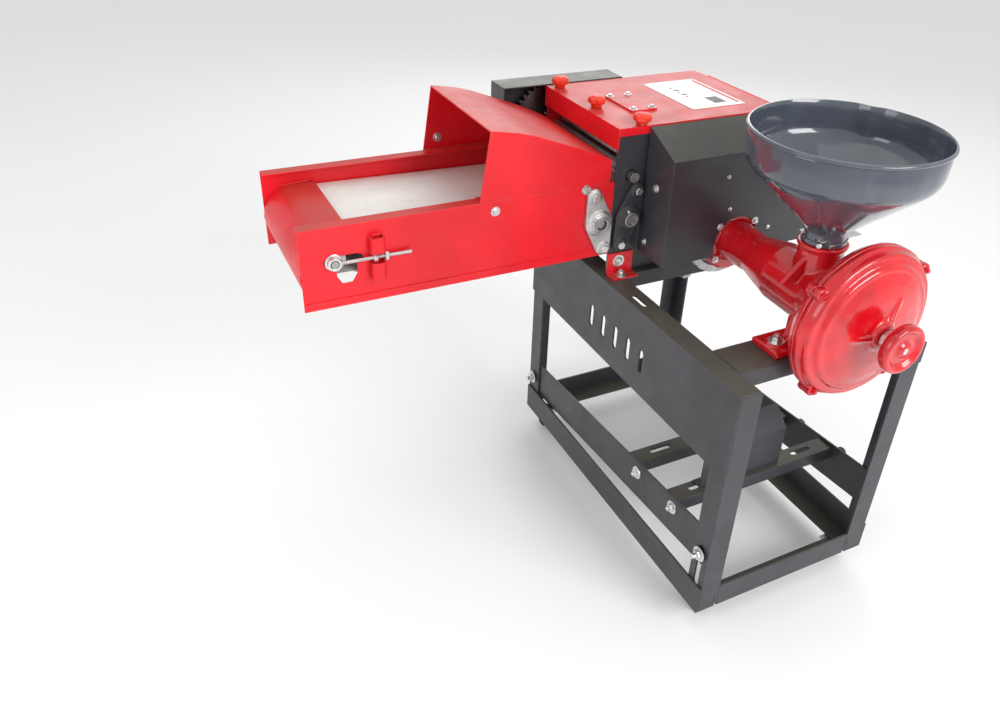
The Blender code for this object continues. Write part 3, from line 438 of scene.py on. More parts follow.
def polar(centre, radius, degrees):
    """The point at this radius and angle round a centre."""
    turn = math.radians(degrees)
    return (centre[0] + radius * math.cos(turn), centre[1] + radius * math.sin(turn))


def arc(centre, radius, start, end, steps):
    return [polar(centre, radius, start + (end - start) * step / steps) for step in range(steps + 1)]


def sheet_outline(path, thickness):
    """The closed outline of a sheet whose one side follows the path, its other side on the left."""
    points = [Vector(p) for p in path]
    normals = []
    for start, end in zip(points, points[1:]):
        step = (end - start).normalized()
        normals.append(Vector((-step.y, step.x)))
    other = [points[0] + normals[0] * thickness]
    for point, before, after in zip(points[1:-1], normals, normals[1:]):
        bisector = (before + after).normalized()
        other.append(point + bisector * thickness / max(0.3, bisector.dot(after)))
    other.append(points[-1] + normals[-1] * thickness)
    return [tuple(p) for p in points + other[::-1]]


def skin_rows(bm, rows):
    """Joins rings of points into a closed tube with flat ends."""
    steps = len(rows[0])
    for lower, upper in zip(rows, rows[1:]):
        for s in range(steps):
            after = (s + 1) % steps
            bm.faces.new([lower[s], lower[after], upper[after], upper[s]])
    bm.faces.new(rows[0][::-1])
    bm.faces.new(rows[-1])


def metre_mesh(name, bm):
    """A bmesh in millimetres as a mesh in metres, standing where the frame stands."""
    bmesh.ops.recalc_face_normals(bm, faces=bm.faces)
    bm.transform(TO_WORLD)
    mesh = bpy.data.meshes.new(name)
    bm.to_mesh(mesh)
    bm.free()
    return mesh


def new_object(name, data):
    """A new object, linked to the scene."""
    obj = bpy.data.objects.new(name, data)
    bpy.context.scene.collection.objects.link(obj)
    return obj


def finish_piece(name, bm, material, body="stand", replaces=(), angle=35):
    """Turns a bmesh in millimetres into a piece that rides on a body."""
    return place_mesh(name, metre_mesh(name, bm), material, body, replaces, angle)


def place_mesh(name, mesh, material, body, replaces=(), angle=35):
    """Links a mesh as a piece. With no angle, its own normals are kept."""
    mesh.materials.clear()
    mesh.materials.append(material)
    if angle is not None:
        mesh.shade_smooth()
        mesh.set_sharp_from_angle(angle=math.radians(angle))
    piece = new_object(name, mesh)
    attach(piece, body)
    if replaces:
        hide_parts(*replaces)
    return piece


def modify(obj, *modifiers):
    """Adds modifiers given as (type, settings) and applies them to the object's mesh."""
    for kind, settings in modifiers:
        modifier = obj.modifiers.new(kind, kind)
        for key, value in settings.items():
            setattr(modifier, key, value)
    graph = bpy.context.evaluated_depsgraph_get()
    graph.update()
    mesh = bpy.data.meshes.new_from_object(obj.evaluated_get(graph))
    obj.modifiers.clear()
    obj.data = mesh


def scratch_object(bm):
    """A bmesh in millimetres as a loose object in metres, for a modifier to work on."""
    return new_object("scratch", metre_mesh("scratch", bm))


# ---------------- carried-over frame pieces

def joined_faces(node):
    """The node's mesh with its split corners merged and its flat faces made whole again."""
    bm = bmesh.new()
    bm.from_mesh(frame["nodes"][node].data)
    bmesh.ops.remove_doubles(bm, verts=bm.verts, dist=0.00001)
    bmesh.ops.dissolve_limit(bm, angle_limit=math.radians(0.6), verts=bm.verts, edges=bm.edges)
    return bm


def soften(node, width_mm, segments=2):
    """A copy of a frame node with rounded edges, which stands for it."""
    bm = joined_faces(node)
    mesh = bpy.data.meshes.new(node + "_soft")
    bm.to_mesh(mesh)
    bm.free()
    mesh.shade_smooth()
    obj = new_object("scratch", mesh)
    bevel = {"width": width_mm * MM, "segments": segments, "limit_method": "ANGLE",
             "angle_limit": math.radians(32), "use_clamp_overlap": True}
    modify(obj, ("BEVEL", bevel), ("WEIGHTED_NORMAL", {"mode": "FACE_AREA", "weight": 90}))
    soft = obj.data
    bpy.data.objects.remove(obj)
    slot = SLOT_OF[node]
    body = frame["nodes"][node]["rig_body"]
    place_mesh(node + "_finished", soft, FINISH[slot], body, (node,), None)


REBUILT = {
    "mill_body", "mill_front_cover", "handwheel", "hopper", "cover_knob_near", "cover_knob_far",
    "bearing_head_roller", "bearing_lower_feed", "tension_bolt_near", "tension_bolt_far",
    "conveyor_belt", "lock_nut",
}


def soften_all():
    for node in sorted(frame["nodes"]):
        if node in REBUILT:
            continue
        slot = SLOT_OF[node]
        width = {"grey_paint": 0.9, "red_paint": 0.7, "black_rubber": 0.9}.get(slot, 0.5)
        soften(node, width)


# ---------------- fasteners

def direction_matrix(place, direction):
    """Moves a shape drawn up +Z from the origin to this place, pointing along the direction."""
    turn = Vector((0, 0, 1)).rotation_difference(Vector(direction)).to_matrix().to_4x4()
    return Matrix.Translation(Vector(place)) @ turn


def add_shape(bm, part, place, direction, spin=0.0):
    """Adds a small bmesh drawn up +Z, and frees it."""
    part.transform(direction_matrix(place, direction) @ Matrix.Rotation(spin, 4, "Z"))
    mesh = bpy.data.meshes.new("part")
    part.to_mesh(mesh)
    part.free()
    bm.from_mesh(mesh)
    bpy.data.meshes.remove(mesh)


def hex_profile(across, height, base):
    """Radius and height of a chamfered hexagon head, as rows of (radius, height)."""
    r = across / math.sqrt(3)
    return [(r, base), (r, base + height * 0.78), (r * 0.86, base + height), (0, base + height)]


def hex_bolt(across, height, washer=True, end=0.0):
    """A hexagon head on a washer, drawn up +Z from its seat. end adds a stub of thread."""
    bm = bmesh.new()
    base = 0.0
    if washer:
        r = across * 0.92
        add_turned(bm, [(0, 0), (r, 0), (r, 1.0), (r - 0.5, 1.4), (0, 1.4)], "z", (0, 0), 28)
        base = 1.4
    rows = [(0, base), *hex_profile(across, height, base)]
    add_turned(bm, rows, "z", (0, 0), 6)
    if end:
        r = across * 0.31
        top = base + height
        add_turned(bm, [(0, top - 0.5), (r, top - 0.5), (r, top + end), (r - 0.8, top + end + 0.8),
                        (0, top + end + 0.8)], "z", (0, 0), 16)
    return bm


def round_screw(radius, height):
    """A domed screw head with a cross recess, drawn up +Z from its seat."""
    bm = bmesh.new()
    dome = [(0, 0), (radius, 0), (radius, 0.6)]
    dome += [(radius * math.cos(a), 0.6 + (height - 0.6) * math.sin(a)) for a in (0.35, 0.75, 1.15)]
    dome += [(radius * 0.26, height), (radius * 0.2, height - 0.9), (0, height - 1.1)]
    add_turned(bm, dome, "z", (0, 0), 24)
    return bm


def fasteners(name, body, spots, maker, material=ZINC):
    """One piece of like fasteners. spots are (place in mm, direction)."""
    bm = bmesh.new()
    for place, direction in spots:
        add_shape(bm, maker(), place, direction, random.uniform(0, math.pi))
    finish_piece(name, bm, material, body, angle=30)


def weld_bead(name, start, end, radius, material=RED):
    """A lumpy weld along a line, half sunk in the corner that it fills."""
    bm = bmesh.new()
    start, end = Vector(start), Vector(end)
    line = end - start
    count = max(3, int(line.length / 2.6))
    rows, steps = [], 8
    side = line.normalized().orthogonal()
    other = line.normalized().cross(side)
    for number in range(count + 1):
        t = number / count
        swell = radius * (0.82 + 0.22 * math.sin(number * 1.9) + random.uniform(-0.08, 0.08))
        swell *= min(1.0, 4 * min(t, 1 - t) + 0.25)
        spot = start.lerp(end, t)
        ring = [polar((0, 0), swell, 360 * s / steps) for s in range(steps)]
        rows.append([bm.verts.new(spot + side * u + other * v) for u, v in ring])
    skin_rows(bm, rows)
    finish_piece(name, bm, material, angle=60)


def add_thread(bm, start, end, axis_u, axis_v, radius, pitch, depth):
    """A rod with a helical thread between two points."""
    start, end = Vector(start), Vector(end)
    line = end - start
    steps, per_turn = 16, 4
    count = int(line.length / pitch * per_turn)
    rows = []
    for number in range(count + 1):
        row = []
        for s in range(steps):
            phase = (number / per_turn - s / steps) % 1.0
            r = radius - depth * abs(2 * phase - 1)
            u, v = polar((0, 0), r, 360 * s / steps)
            row.append(bm.verts.new(start + line * number / count + axis_u * u + axis_v * v))
        rows.append(row)
    skin_rows(bm, rows)


# ---------------- disc mill

def roughen(mesh, depth_mm):
    """Pushes each point in or out along its normal by smooth noise."""
    count = len(mesh.vertices)
    spots = np.empty(count * 3)
    normals = np.empty(count * 3)
    mesh.vertices.foreach_get("co", spots)
    mesh.vertex_normals.foreach_get("vector", normals)
    spots = spots.reshape(-1, 3)
    lumps = [noise.noise(Vector(p) * 60.0) + 0.4 * noise.noise(Vector(p) * 170.0) for p in spots]
    spots += normals.reshape(-1, 3) * np.array(lumps)[:, None] * depth_mm * MM
    mesh.vertices.foreach_set("co", spots.ravel())
    mesh.update()


def cut_away(obj, tool):
    """Cuts a bmesh in millimetres out of an object in metres."""
    cutter = scratch_object(tool)
    modify(obj, ("BOOLEAN", {"object": cutter, "operation": "DIFFERENCE", "solver": "EXACT"}))
    bpy.data.objects.remove(cutter)


def mill_openings():
    """The hopper's throat and the outlet slot at the casing's foot, as solids to cut away."""
    tool = bmesh.new()
    half = 28.0
    foot = SHAFT[1] - MILL_RIM - 5
    add_box(tool, (SHAFT[0] - half, SHAFT[0] + half), (2, 33), (foot, foot + 35))
    add_rod(tool, "z", HOPPER_AXIS, 27, SHAFT[1] + 6, HOPPER_LOW.z + 5, 40)
    return tool


def cast_surface(bm, voxel_mm, rough_mm, name, node):
    """Melts overlapping solids into one casting with soft fillets and a slightly uneven skin."""
    obj = scratch_object(bm)
    modify(obj, ("REMESH", {"mode": "VOXEL", "voxel_size": voxel_mm * MM, "adaptivity": 0.0}),
             ("SMOOTH", {"factor": 0.5, "iterations": 5}), ("DECIMATE", {"ratio": 0.4}))
    cut_away(obj, mill_openings())
    mesh = obj.data
    roughen(mesh, rough_mm)
    bpy.data.objects.remove(obj)
    place_mesh(name, mesh, CAST, "stand", (node,), 180)


def add_mill_foot(bm):
    """The two foot pads with their bolt bosses, the webs above them and the pedestal between them."""
    low = STAND_TOP + 0.3
    for side in (-1, 1):
        x = SHAFT[0] + side * 74
        add_box(bm, sorted((x - 40 * side, x + 39 * side)), (56, 116), (low, low + 11))
        boss = [(0, low), (17, low), (16, low + FOOT_HIGH), (0, low + FOOT_HIGH)]
        add_turned(bm, boss, "z", (SHAFT[0] + side * FOOT_BOLT_X, FOOT_BOLT_Y), 32)
        web = [(x - 30 * side, low + 4), (x - 46 * side, 560), (x - 10 * side, 522)]
        web.append((x + 8 * side, low + 4))
        add_prism(bm, web, "y", 74, 88)
        rib = [(SHAFT[0] + 30 * side, 560), (SHAFT[0] + 78 * side, 560), (SHAFT[0] + 30 * side, 606)]
        add_prism(bm, rib, "y", 112, 122)
    add_box(bm, (SHAFT[0] - 48, SHAFT[0] + 48), (60, 112), (low, 500))


def build_mill_body():
    """The rear half of the casing: back dish, neck, rear flange, hopper inlet, foot and bosses."""
    split, rim, end = MILL_SPLIT, MILL_RIM, MILL_BACK
    back = 43.0
    bm = bmesh.new()
    flange = [(18, end), (58, end), (60, end - 2), (60, end - 9), (56, end - 11), (40, end - 13)]
    neck = [(37, 300), (36, 255), (44, 222), (52, 186), (54, 100), (62, 66), (82, 50), (104, back + 1)]
    dish = [(rim - 14, back - 3), (rim - 5, back - 11), (rim - 3, split + 9), (rim, split + 7)]
    inside = [(rim, split), (rim - 16, split), (rim - 18, back - 8), (58, back - 7)]
    inside += [(34, 92), (34, 168), (18, 176)]
    add_turned(bm, flange + neck + dish + inside, "y", SHAFT, 96, ring=True)
    inlet_low, inlet_high = SHAFT[1] + 26, HOPPER_LOW.z
    inlet = [(27, inlet_low), (36, inlet_low), (36, inlet_high - 10), (40, inlet_high - 7)]
    inlet += [(40, inlet_high - 0.6), (27, inlet_high - 0.6)]
    add_turned(bm, inlet, "z", HOPPER_AXIS, 48, ring=True)
    add_mill_foot(bm)
    for angle in FLANGE_ANGLES:
        add_rod(bm, "y", polar(SHAFT, FLANGE_BOLT_R, angle), 11, end - 12, end)
    lug = [(0, split), (9, split), (9, split + 12), (7, split + 14), (0, split + 14)]
    for angle in LUG_ANGLES:
        add_turned(bm, lug, "y", polar(SHAFT, rim, angle), 24)
    cast_surface(bm, 1.9, 0.28, "mill_casing_rear", "mill_body")


def build_mill_cover():
    """The front half of the casing: domed face with two ridges, screw boss, three ribs and clamp lugs."""
    face, split, rim = MILL_FACE, MILL_SPLIT - 0.3, MILL_RIM
    bm = bmesh.new()
    boss = [(9.6, face - 25), (19, face - 25), (21, face - 23), (23, face - 17), (30, face - 14)]
    dome = [(54, face - 12), (80, face - 7), (96, face - 1), (101, face - 1), (105, face + 1)]
    ridge = [(108, face + 6), (114, face + 8), (118, face + 8), (121, face + 11), (122, face + 15)]
    edge = [(125, split - 9), (rim, split - 7), (rim, split), (rim - 16, split)]
    inside = [(rim - 18, face + 16), (92, face + 10), (60, face + 8), (9.6, face + 6)]
    add_turned(bm, boss + dome + ridge + edge + inside, "y", SHAFT, 120, ring=True)
    lug = [(0, split - 13), (8, split - 13), (10, split - 11), (10, split), (0, split)]
    for angle in LUG_ANGLES:
        add_turned(bm, lug, "y", polar(SHAFT, rim - 1, angle), 24)
    for angle in (60, 180, 300):
        for number in range(6):
            top = face - 20 + 1.6 * number
            stud = [(0, face + 1), (6, face + 1), (5, top), (0, top - 1)]
            add_turned(bm, stud, "y", polar(SHAFT, 24 + 6.5 * number, angle), 16)
    cast_surface(bm, 1.7, 0.25, "mill_casing_front", "mill_front_cover")


def ring_of_bolts(radius, angles, y):
    """Places round the shaft for bolts whose heads face the near side."""
    spots = [polar(SHAFT, radius, angle) for angle in angles]
    return [((x, y, z), (0, -1, 0)) for x, z in spots]


def build_mill_bolts():
    """Foot bolts, flange bolts and the bolts through the casing's lugs."""
    top = STAND_TOP + FOOT_HIGH + 0.2
    foot = [((SHAFT[0] + side * FOOT_BOLT_X, FOOT_BOLT_Y, top), (0, 0, 1)) for side in (-1, 1)]
    fasteners("mill_foot_bolts", "stand", foot, lambda: hex_bolt(15.0, 6.5, True, 5.0))
    flange = ring_of_bolts(FLANGE_BOLT_R, FLANGE_ANGLES, MILL_BACK - 12)
    fasteners("mill_flange_bolts", "stand", flange, lambda: hex_bolt(13.0, 5.3, False, 3.0))
    lugs = ring_of_bolts(MILL_RIM - 1, LUG_ANGLES, 5.0)
    fasteners("mill_lug_bolts", "stand", lugs, lambda: hex_bolt(10.0, 4.0, False, 2.0), CAST)


def build_gap_spring():
    """The dark coil spring round the gap screw, between the handwheel and the lock nut."""
    start = in_mm("handwheel")[0].y + 28
    end = in_mm("lock_nut")[0].y - 0.8
    wire, radius, turns, steps, sides = 1.5, 11.6, 3, 24, 8
    bm = bmesh.new()
    rows = []
    for number in range(turns * steps + 1):
        t = 2 * math.pi * number / steps
        y = start + (end - start) * number / (turns * steps)
        row = []
        for side in range(sides):
            a = 2 * math.pi * side / sides
            r = radius + wire * math.cos(a)
            spot = (SHAFT[0] + r * math.cos(t), y + wire * math.sin(a), SHAFT[1] + r * math.sin(t))
            row.append(bm.verts.new(spot))
        rows.append(row)
    skin_rows(bm, rows)
    finish_piece("gap_screw_spring", bm, STEEL, "plate_handwheel", angle=70)


def build_handwheel():
    """A solid dished handwheel on the gap screw, with its centre bolt and threaded stem."""
    low, high = in_mm("handwheel")
    y = low.y + 6
    bm = bmesh.new()
    dish = [(0, y - 4.5), (5, y - 4.5), (9, y - 3), (14, y + 1), (24, y + 1.5), (29, y - 2.5)]
    grip = [(32, y - 5.2), (36, y - 5.4), (39, y - 3), (40, y + 2), (39.5, y + 9), (37, y + 12.5)]
    hub = [(32, y + 13.5), (20, y + 11), (13, y + 13), (11, y + 17), (9.2, y + 20), (9, y + 21)]
    hub.append((0, y + 21))
    add_turned(bm, rounded(dish + grip + hub, 1.6, 2), "y", SHAFT, 72)
    mesh = metre_mesh("handwheel_casting", bm)
    roughen(mesh, 0.22)
    place_mesh("handwheel_casting", mesh, CAST, "plate_handwheel", ("handwheel",), 50)
    stem = bmesh.new()
    ends = (SHAFT[0], y + 20.5, SHAFT[1]), (SHAFT[0], high.y, SHAFT[1])
    add_thread(stem, *ends, Vector((1, 0, 0)), Vector((0, 0, 1)), 8.6, 2.5, 1.2)
    finish_piece("handwheel_screw", stem, STEEL, "plate_handwheel", angle=50)
    bolt = [((SHAFT[0], y - 4.4, SHAFT[1]), (0, -1, 0))]
    fasteners("handwheel_centre_screw", "plate_handwheel", bolt, lambda: round_screw(5.2, 1.6))


def build_lock_nut():
    """The hexagon nut that locks the gap screw."""
    low, high = in_mm("lock_nut")
    bm = bmesh.new()
    r_in, r_out = 10.6, 16.6
    steps_per_side = 12
    outer = [(r_out * 0.9, low.y), (r_out, low.y + 1.6), (r_out, high.y - 1.6), (r_out * 0.9, high.y)]
    inner = [(r_in, high.y), (r_in, low.y)]

    def hexagon(radius, height, angle):
        if radius < r_in + 0.1:
            return radius
        flat = math.cos(math.radians(30)) / math.cos((angle % math.radians(60)) - math.radians(30))
        return min(radius, r_out * flat)

    add_turned(bm, outer + inner, "y", SHAFT, 6 * steps_per_side, ring=True, shape=hexagon)
    finish_piece("lock_nut_hexagon", bm, ZINC, "screw_lock", ("lock_nut",), 30)


# ---------------- hopper

def build_hopper():
    """A spun sheet bowl with a rolled rim, a small dent, and a collar on the mill's inlet."""
    rim = HOPPER_HIGH.z
    neck = HOPPER_LOW.z
    r = HOPPER_HIGH.x - HOPPER_AXIS[0]
    outer = [(33, neck), (33, neck + 20), (36, neck + 25), (62, neck + 49), (100, neck + 83)]
    outer += [(128, neck + 108), (138, neck + 118), (143, neck + 126), (145.5, neck + 136)]
    outer.append((146.5, rim - 9))
    lip = arc((r - 3.3, rim - 3.3), 3.3, 250, 470, 9)
    lip = [(x, min(z, rim)) for x, z in lip]
    inner = [(r - 7.2, rim - 7), (143.4, neck + 137), (140.5, neck + 127), (135.5, neck + 120)]
    inner += [(126, neck + 110.5), (99, neck + 86), (60.5, neck + 51.5), (34.0, neck + 27)]
    inner += [(30.7, neck + 21), (30.7, neck)]
    profile = rounded(outer, 5.0, 4) + lip + rounded(inner, 5.0, 4)

    def dent(radius, height, angle):
        """One shallow dent and a faint wobble near the rim, as on thin spun sheet."""
        up = max(0.0, min(1.0, (height - neck - 120) / 40))
        away = (angle - math.radians(32) + math.pi) % (2 * math.pi) - math.pi
        dip = 5.5 * math.exp(-(away / 0.10) ** 2) * up
        wobble = 0.5 * math.sin(3 * angle + 0.7) + 0.3 * math.sin(7 * angle)
        return radius - dip - up * (0.8 + wobble)

    bm = bmesh.new()
    add_turned(bm, profile, "z", HOPPER_AXIS, 160, ring=True, shape=dent)
    bowl = finish_piece("hopper_bowl", bm, HOPPER, "stand", ("hopper",), 50)
    low, high = in_mm("hopper_gate")
    slot = bmesh.new()
    add_box(slot, (low.x - 2, high.x + 8), (low.y - 2, high.y + 2), (neck + 9, neck + 13))
    cut_away(bowl, slot)
    bowl.data.shade_smooth()
    bowl.data.set_sharp_from_angle(angle=math.radians(50))
    collar = bmesh.new()
    band = [(33.4, neck + 1), (35.2, neck + 1.4), (35.2, neck + 7.0), (33.4, neck + 7.4)]
    add_turned(collar, band, "z", HOPPER_AXIS, 64, ring=True)
    finish_piece("hopper_collar", collar, HOPPER, angle=40)
    spots = []
    for angle in (215, 245, 335, 95):
        place = polar(HOPPER_AXIS, 35, angle)
        spots.append(((*place, neck + 4.2), (*polar((0, 0), 1, angle), 0)))
    fasteners("hopper_neck_screws", "stand", spots, lambda: hex_bolt(8.0, 3.6, False))


# ---------------- bearings, tensioner, knobs

def build_bearing(name, node, centre, lean, material):
    """A two-bolt flange bearing: cast plate, raised ring, insert, grease nipple and bolts."""
    y = in_mm(node)[1].y
    reach = 51.0
    ends = [polar(centre, side * reach, 90 + lean) for side in (1, -1)]
    outline = arc(ends[0], 14.0, lean + 10, lean + 170, 12)
    outline += arc(centre, 26, lean + 160, lean + 200, 10)
    outline += arc(ends[1], 14.0, lean + 190, lean + 350, 12)
    outline += arc(centre, 26, lean - 20, lean + 20, 10)
    bm = bmesh.new()
    add_prism(bm, outline, "y", y - 8, y)
    for end in ends:
        pad = [(0, y - 10.5), (10.5, y - 10.5), (12, y - 9), (12, y - 1), (0, y - 1)]
        add_turned(bm, pad, "y", end, 32)
    ring = [(9.6, y - 12), (9.6, y - 15.5), (14.5, y - 15.5), (16, y - 14), (18.5, y - 14)]
    ring += [(21, y - 12), (25, y - 6), (25, y - 1), (9.6, y - 1)]
    add_turned(bm, ring, "y", centre, 64, ring=True)
    plate = scratch_object(bm)
    modify(plate, ("REMESH", {"mode": "VOXEL", "voxel_size": 0.8 * MM}), ("SMOOTH", {"iterations": 3}),
             ("DECIMATE", {"ratio": 0.3}))
    mesh = plate.data
    bpy.data.objects.remove(plate)
    place_mesh(name + "_casting", mesh, material, "stand", (node,), 180)
    insert = bmesh.new()
    sleeve = [(9.4, y - 12), (9.4, y - 19), (10, y - 19.6), (13, y - 19.6), (13.8, y - 18.8)]
    sleeve += [(13.8, y - 12)]
    add_turned(insert, sleeve, "y", centre, 48, ring=True)
    finish_piece(name + "_insert", insert, STEEL, angle=40)
    bolts = [((end[0], y - 10.5, end[1]), (0, -1, 0)) for end in ends]
    fasteners(name + "_bolts", "stand", bolts, lambda: hex_bolt(13.0, 5.0, False))
    x, z = polar(centre, 17, 90 + lean + math.degrees(0.7))
    nipple = [((x, y - 15, z), (0.2, -1, 0.3))]
    fasteners(name + "_grease_nipple", "stand", nipple, lambda: hex_bolt(6.0, 3.0, False, 2.0))


def build_tensioner(name, node):
    """The eye bolt that pulls the tail roller's axle: eye, threaded rod and two nuts."""
    low, high = in_mm(node)
    y = (low.y + high.y) / 2
    x, z = TAIL
    bm = bmesh.new()
    eye = [(6.6, y - 3.2), (7.4, y - 3.8), (10.2, y - 3.8), (11.0, y - 3.0)]
    eye += [(11.0, y + 3.0), (10.2, y + 3.8), (7.4, y + 3.8), (6.6, y + 3.2)]
    add_turned(bm, eye, "y", (x, z), 48, ring=True)
    along_y, along_z = Vector((0, 1, 0)), Vector((0, 0, 1))
    add_thread(bm, (x + 9.6, y, z), (high.x, y, z), along_y, along_z, 3.4, 1.25, 0.65)
    for spot in (x + 60, x + 78):
        part = bmesh.new()
        nut = [(3.2, 0), (6.6, 0), (7.2, 0.8), (7.2, 5.4), (6.6, 6.2), (3.2, 6.2)]
        add_turned(part, nut, "z", (0, 0), 6, ring=True)
        add_shape(bm, part, (spot, y, z), (1, 0, 0), 0.3)
    finish_piece(name, bm, ZINC, "belt_tensioner", (node,), 30)


def build_knob(name, body, centre, z, replaces=()):
    """A lobed clamping knob with a raised cap."""

    def lobes(radius, height, angle):
        if radius < 12:
            return radius
        return radius * (0.94 + 0.06 * math.cos(7 * angle))

    profile = [(0, z), (9.5, z), (10, z + 4), (13, z + 6), (16, z + 8), (16, z + 15), (14, z + 17.5)]
    profile += [(9, z + 18.4), (8.4, z + 19.6), (0, z + 19.7)]
    bm = bmesh.new()
    add_turned(bm, rounded(profile, 1.4, 3), "z", centre, 84, shape=lobes)
    finish_piece(name, bm, KNOB, body, replaces, 60)


def build_knobs():
    """The two clamping knobs of the frame, and the hatch's knob between them."""
    for name, node in (("clamp_knob_near", "cover_knob_near"), ("clamp_knob_far", "cover_knob_far")):
        place = middle(node)
        build_knob(name, frame["nodes"][node]["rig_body"], (place.x, place.y), in_mm(node)[0].z, (node,))
    build_knob("hatch_knob", "cutter_cover", (COVER_LOW.x + 25, 516), LID_TOP + 0.3)


# ---------------- conveyor

def belt_path(radius, steps=24):
    tilt = math.degrees(math.atan2(HEAD[1] - TAIL[1], HEAD[0] - TAIL[0]))
    back = arc(TAIL, radius, 90 + tilt, 270 + tilt, steps)
    return back + arc(HEAD, radius, -90 + tilt, 90 + tilt, steps)


def build_belt():
    """The closed conveyor belt round the tail roller and the head roller."""
    low, high = in_mm("conveyor_belt")
    inner, outer = 23.0, 25.7
    bm = bmesh.new()
    loops = []
    for radius in (inner, outer):
        for y in (low.y, high.y):
            loops.append([bm.verts.new((x, y, z)) for x, z in belt_path(radius)])
    count = len(loops[0])
    for i in range(count):
        j = (i + 1) % count
        for a, b in ((0, 1), (1, 3), (3, 2), (2, 0)):
            bm.faces.new([loops[a][i], loops[a][j], loops[b][j], loops[b][i]])
    finish_piece("conveyor_belt_loop", bm, BELTING, "stand", ("conveyor_belt",), 50)


def build_chain():
    """The roller chain that turns the conveyor's head roller from the lower feed roller."""
    y = in_mm("head_roller")[1].y - 3.5
    radius = 18.0
    centres = (HEAD, LOWER_FEED)
    pitch = 9.5
    flat = centres[1][0] - centres[0][0]
    total = 2 * flat + 2 * math.pi * radius
    links = int(total / pitch)

    def spot(distance):
        """The place this far round the two sprockets, from the top of the first one."""
        distance %= total
        side, first, second = (1, *centres) if distance < total / 2 else (-1, *centres[::-1])
        distance %= total / 2
        if distance < flat:
            return (first[0] + side * distance, first[1] + side * radius)
        return polar(second, radius, 90 * side - math.degrees((distance - flat) / radius))

    bm = bmesh.new()
    for number in range(links):
        start = spot(total * number / links)
        end = spot(total * (number + 1) / links)
        add_rod(bm, "y", start, 2.4, y - 2.2, y + 2.2, 10)
        heading = math.degrees(math.atan2(end[1] - start[1], end[0] - start[0]))
        outline = arc(start, 3.4, heading + 90, heading + 270, 5)
        outline += arc(end, 3.4, heading - 90, heading + 90, 5)
        near = 2.9 if number % 2 else 2.2
        for side in (-1, 1):
            add_prism(bm, outline, "y", y + side * near, y + side * (near + 0.7))
    finish_piece("conveyor_chain", bm, STEEL)


# ---------------- sheet metal details

def build_tray_details():
    """Hems, screws, welded bracket, weld lines and tail axle washer of the feed tray."""
    near_y = TRAY_LOW.y
    far_y = FAR_WALL_HIGH.y
    bracket = bmesh.new()
    x, z = TAIL[0] + 67.0, TAIL[1]
    path = [(x - 9, near_y - 1.0), (x - 9, near_y - 12.5), (x + 9, near_y - 12.5), (x + 9, near_y - 1.0)]
    outline = sheet_outline(rounded(path, 3.0, 3), -2.5)
    for low, high in ((z + 8, z + 34), (z - 36, z - 8)):
        add_prism(bracket, outline, "z", low, high)
    finish_piece("tensioner_bracket", bracket, RED)
    for name, high in (("top", z + 35), ("low", z - 37)):
        weld_bead("bracket_weld_" + name, (x - 8, near_y - 1.2, high), (x + 10, near_y - 1.2, high), 2.0)
    for name, y in (("far", far_y - 4.2), ("near", near_y + 4.2)):
        weld_bead("nose_weld_" + name, (TRAY_LOW.x + 24, y, TRAY_LOW.z + 106),
                  (TRAY_LOW.x + 86, y, TRAY_LOW.z + 111), 1.5)
    for name, y, out in (("near", near_y, -1), ("far", far_y, 1)):
        hem = bmesh.new()
        face = sorted((y - 0.2 * out, y + 1.4 * out))
        add_prism(hem, [(face[0], TRAY_LOW.z + 1), (face[1], TRAY_LOW.z + 1), (face[1], TRAY_LOW.z + 13),
                        (face[0], TRAY_LOW.z + 14)], "x", TRAY_LOW.x + 0.5, TRAY_HIGH.x - 1)
        finish_piece("tray_hem_" + name, hem, RED, angle=30)
    spots = [((HOOD_LOW.x + 27, near_y, TRAY_HIGH.z - 18), (0, -1, 0)),
             ((HOOD_LOW.x + 27, far_y, TRAY_HIGH.z - 18), (0, 1, 0)),
             ((HEAD[0] - 27, near_y, TRAY_HIGH.z - 6), (0, -1, 0))]
    fasteners("tray_screws", "stand", spots, lambda: hex_bolt(9.0, 3.6, True))
    inside = [((HOOD_LOW.x + 27, far_y - 2.5, TRAY_HIGH.z + 22), (0, -1, 0))]
    fasteners("hood_inner_screw", "stand", inside, lambda: hex_bolt(9.0, 3.6, True))
    washer = bmesh.new()
    y = near_y
    disc = [(7.2, y - 0.2), (13.5, y - 0.2), (13.5, y - 1.6), (12.8, y - 2.0), (7.2, y - 2.0)]
    add_turned(washer, disc, "y", TAIL, 40, ring=True)
    finish_piece("tail_axle_washer", washer, ZINC, "belt_tensioner", angle=40)


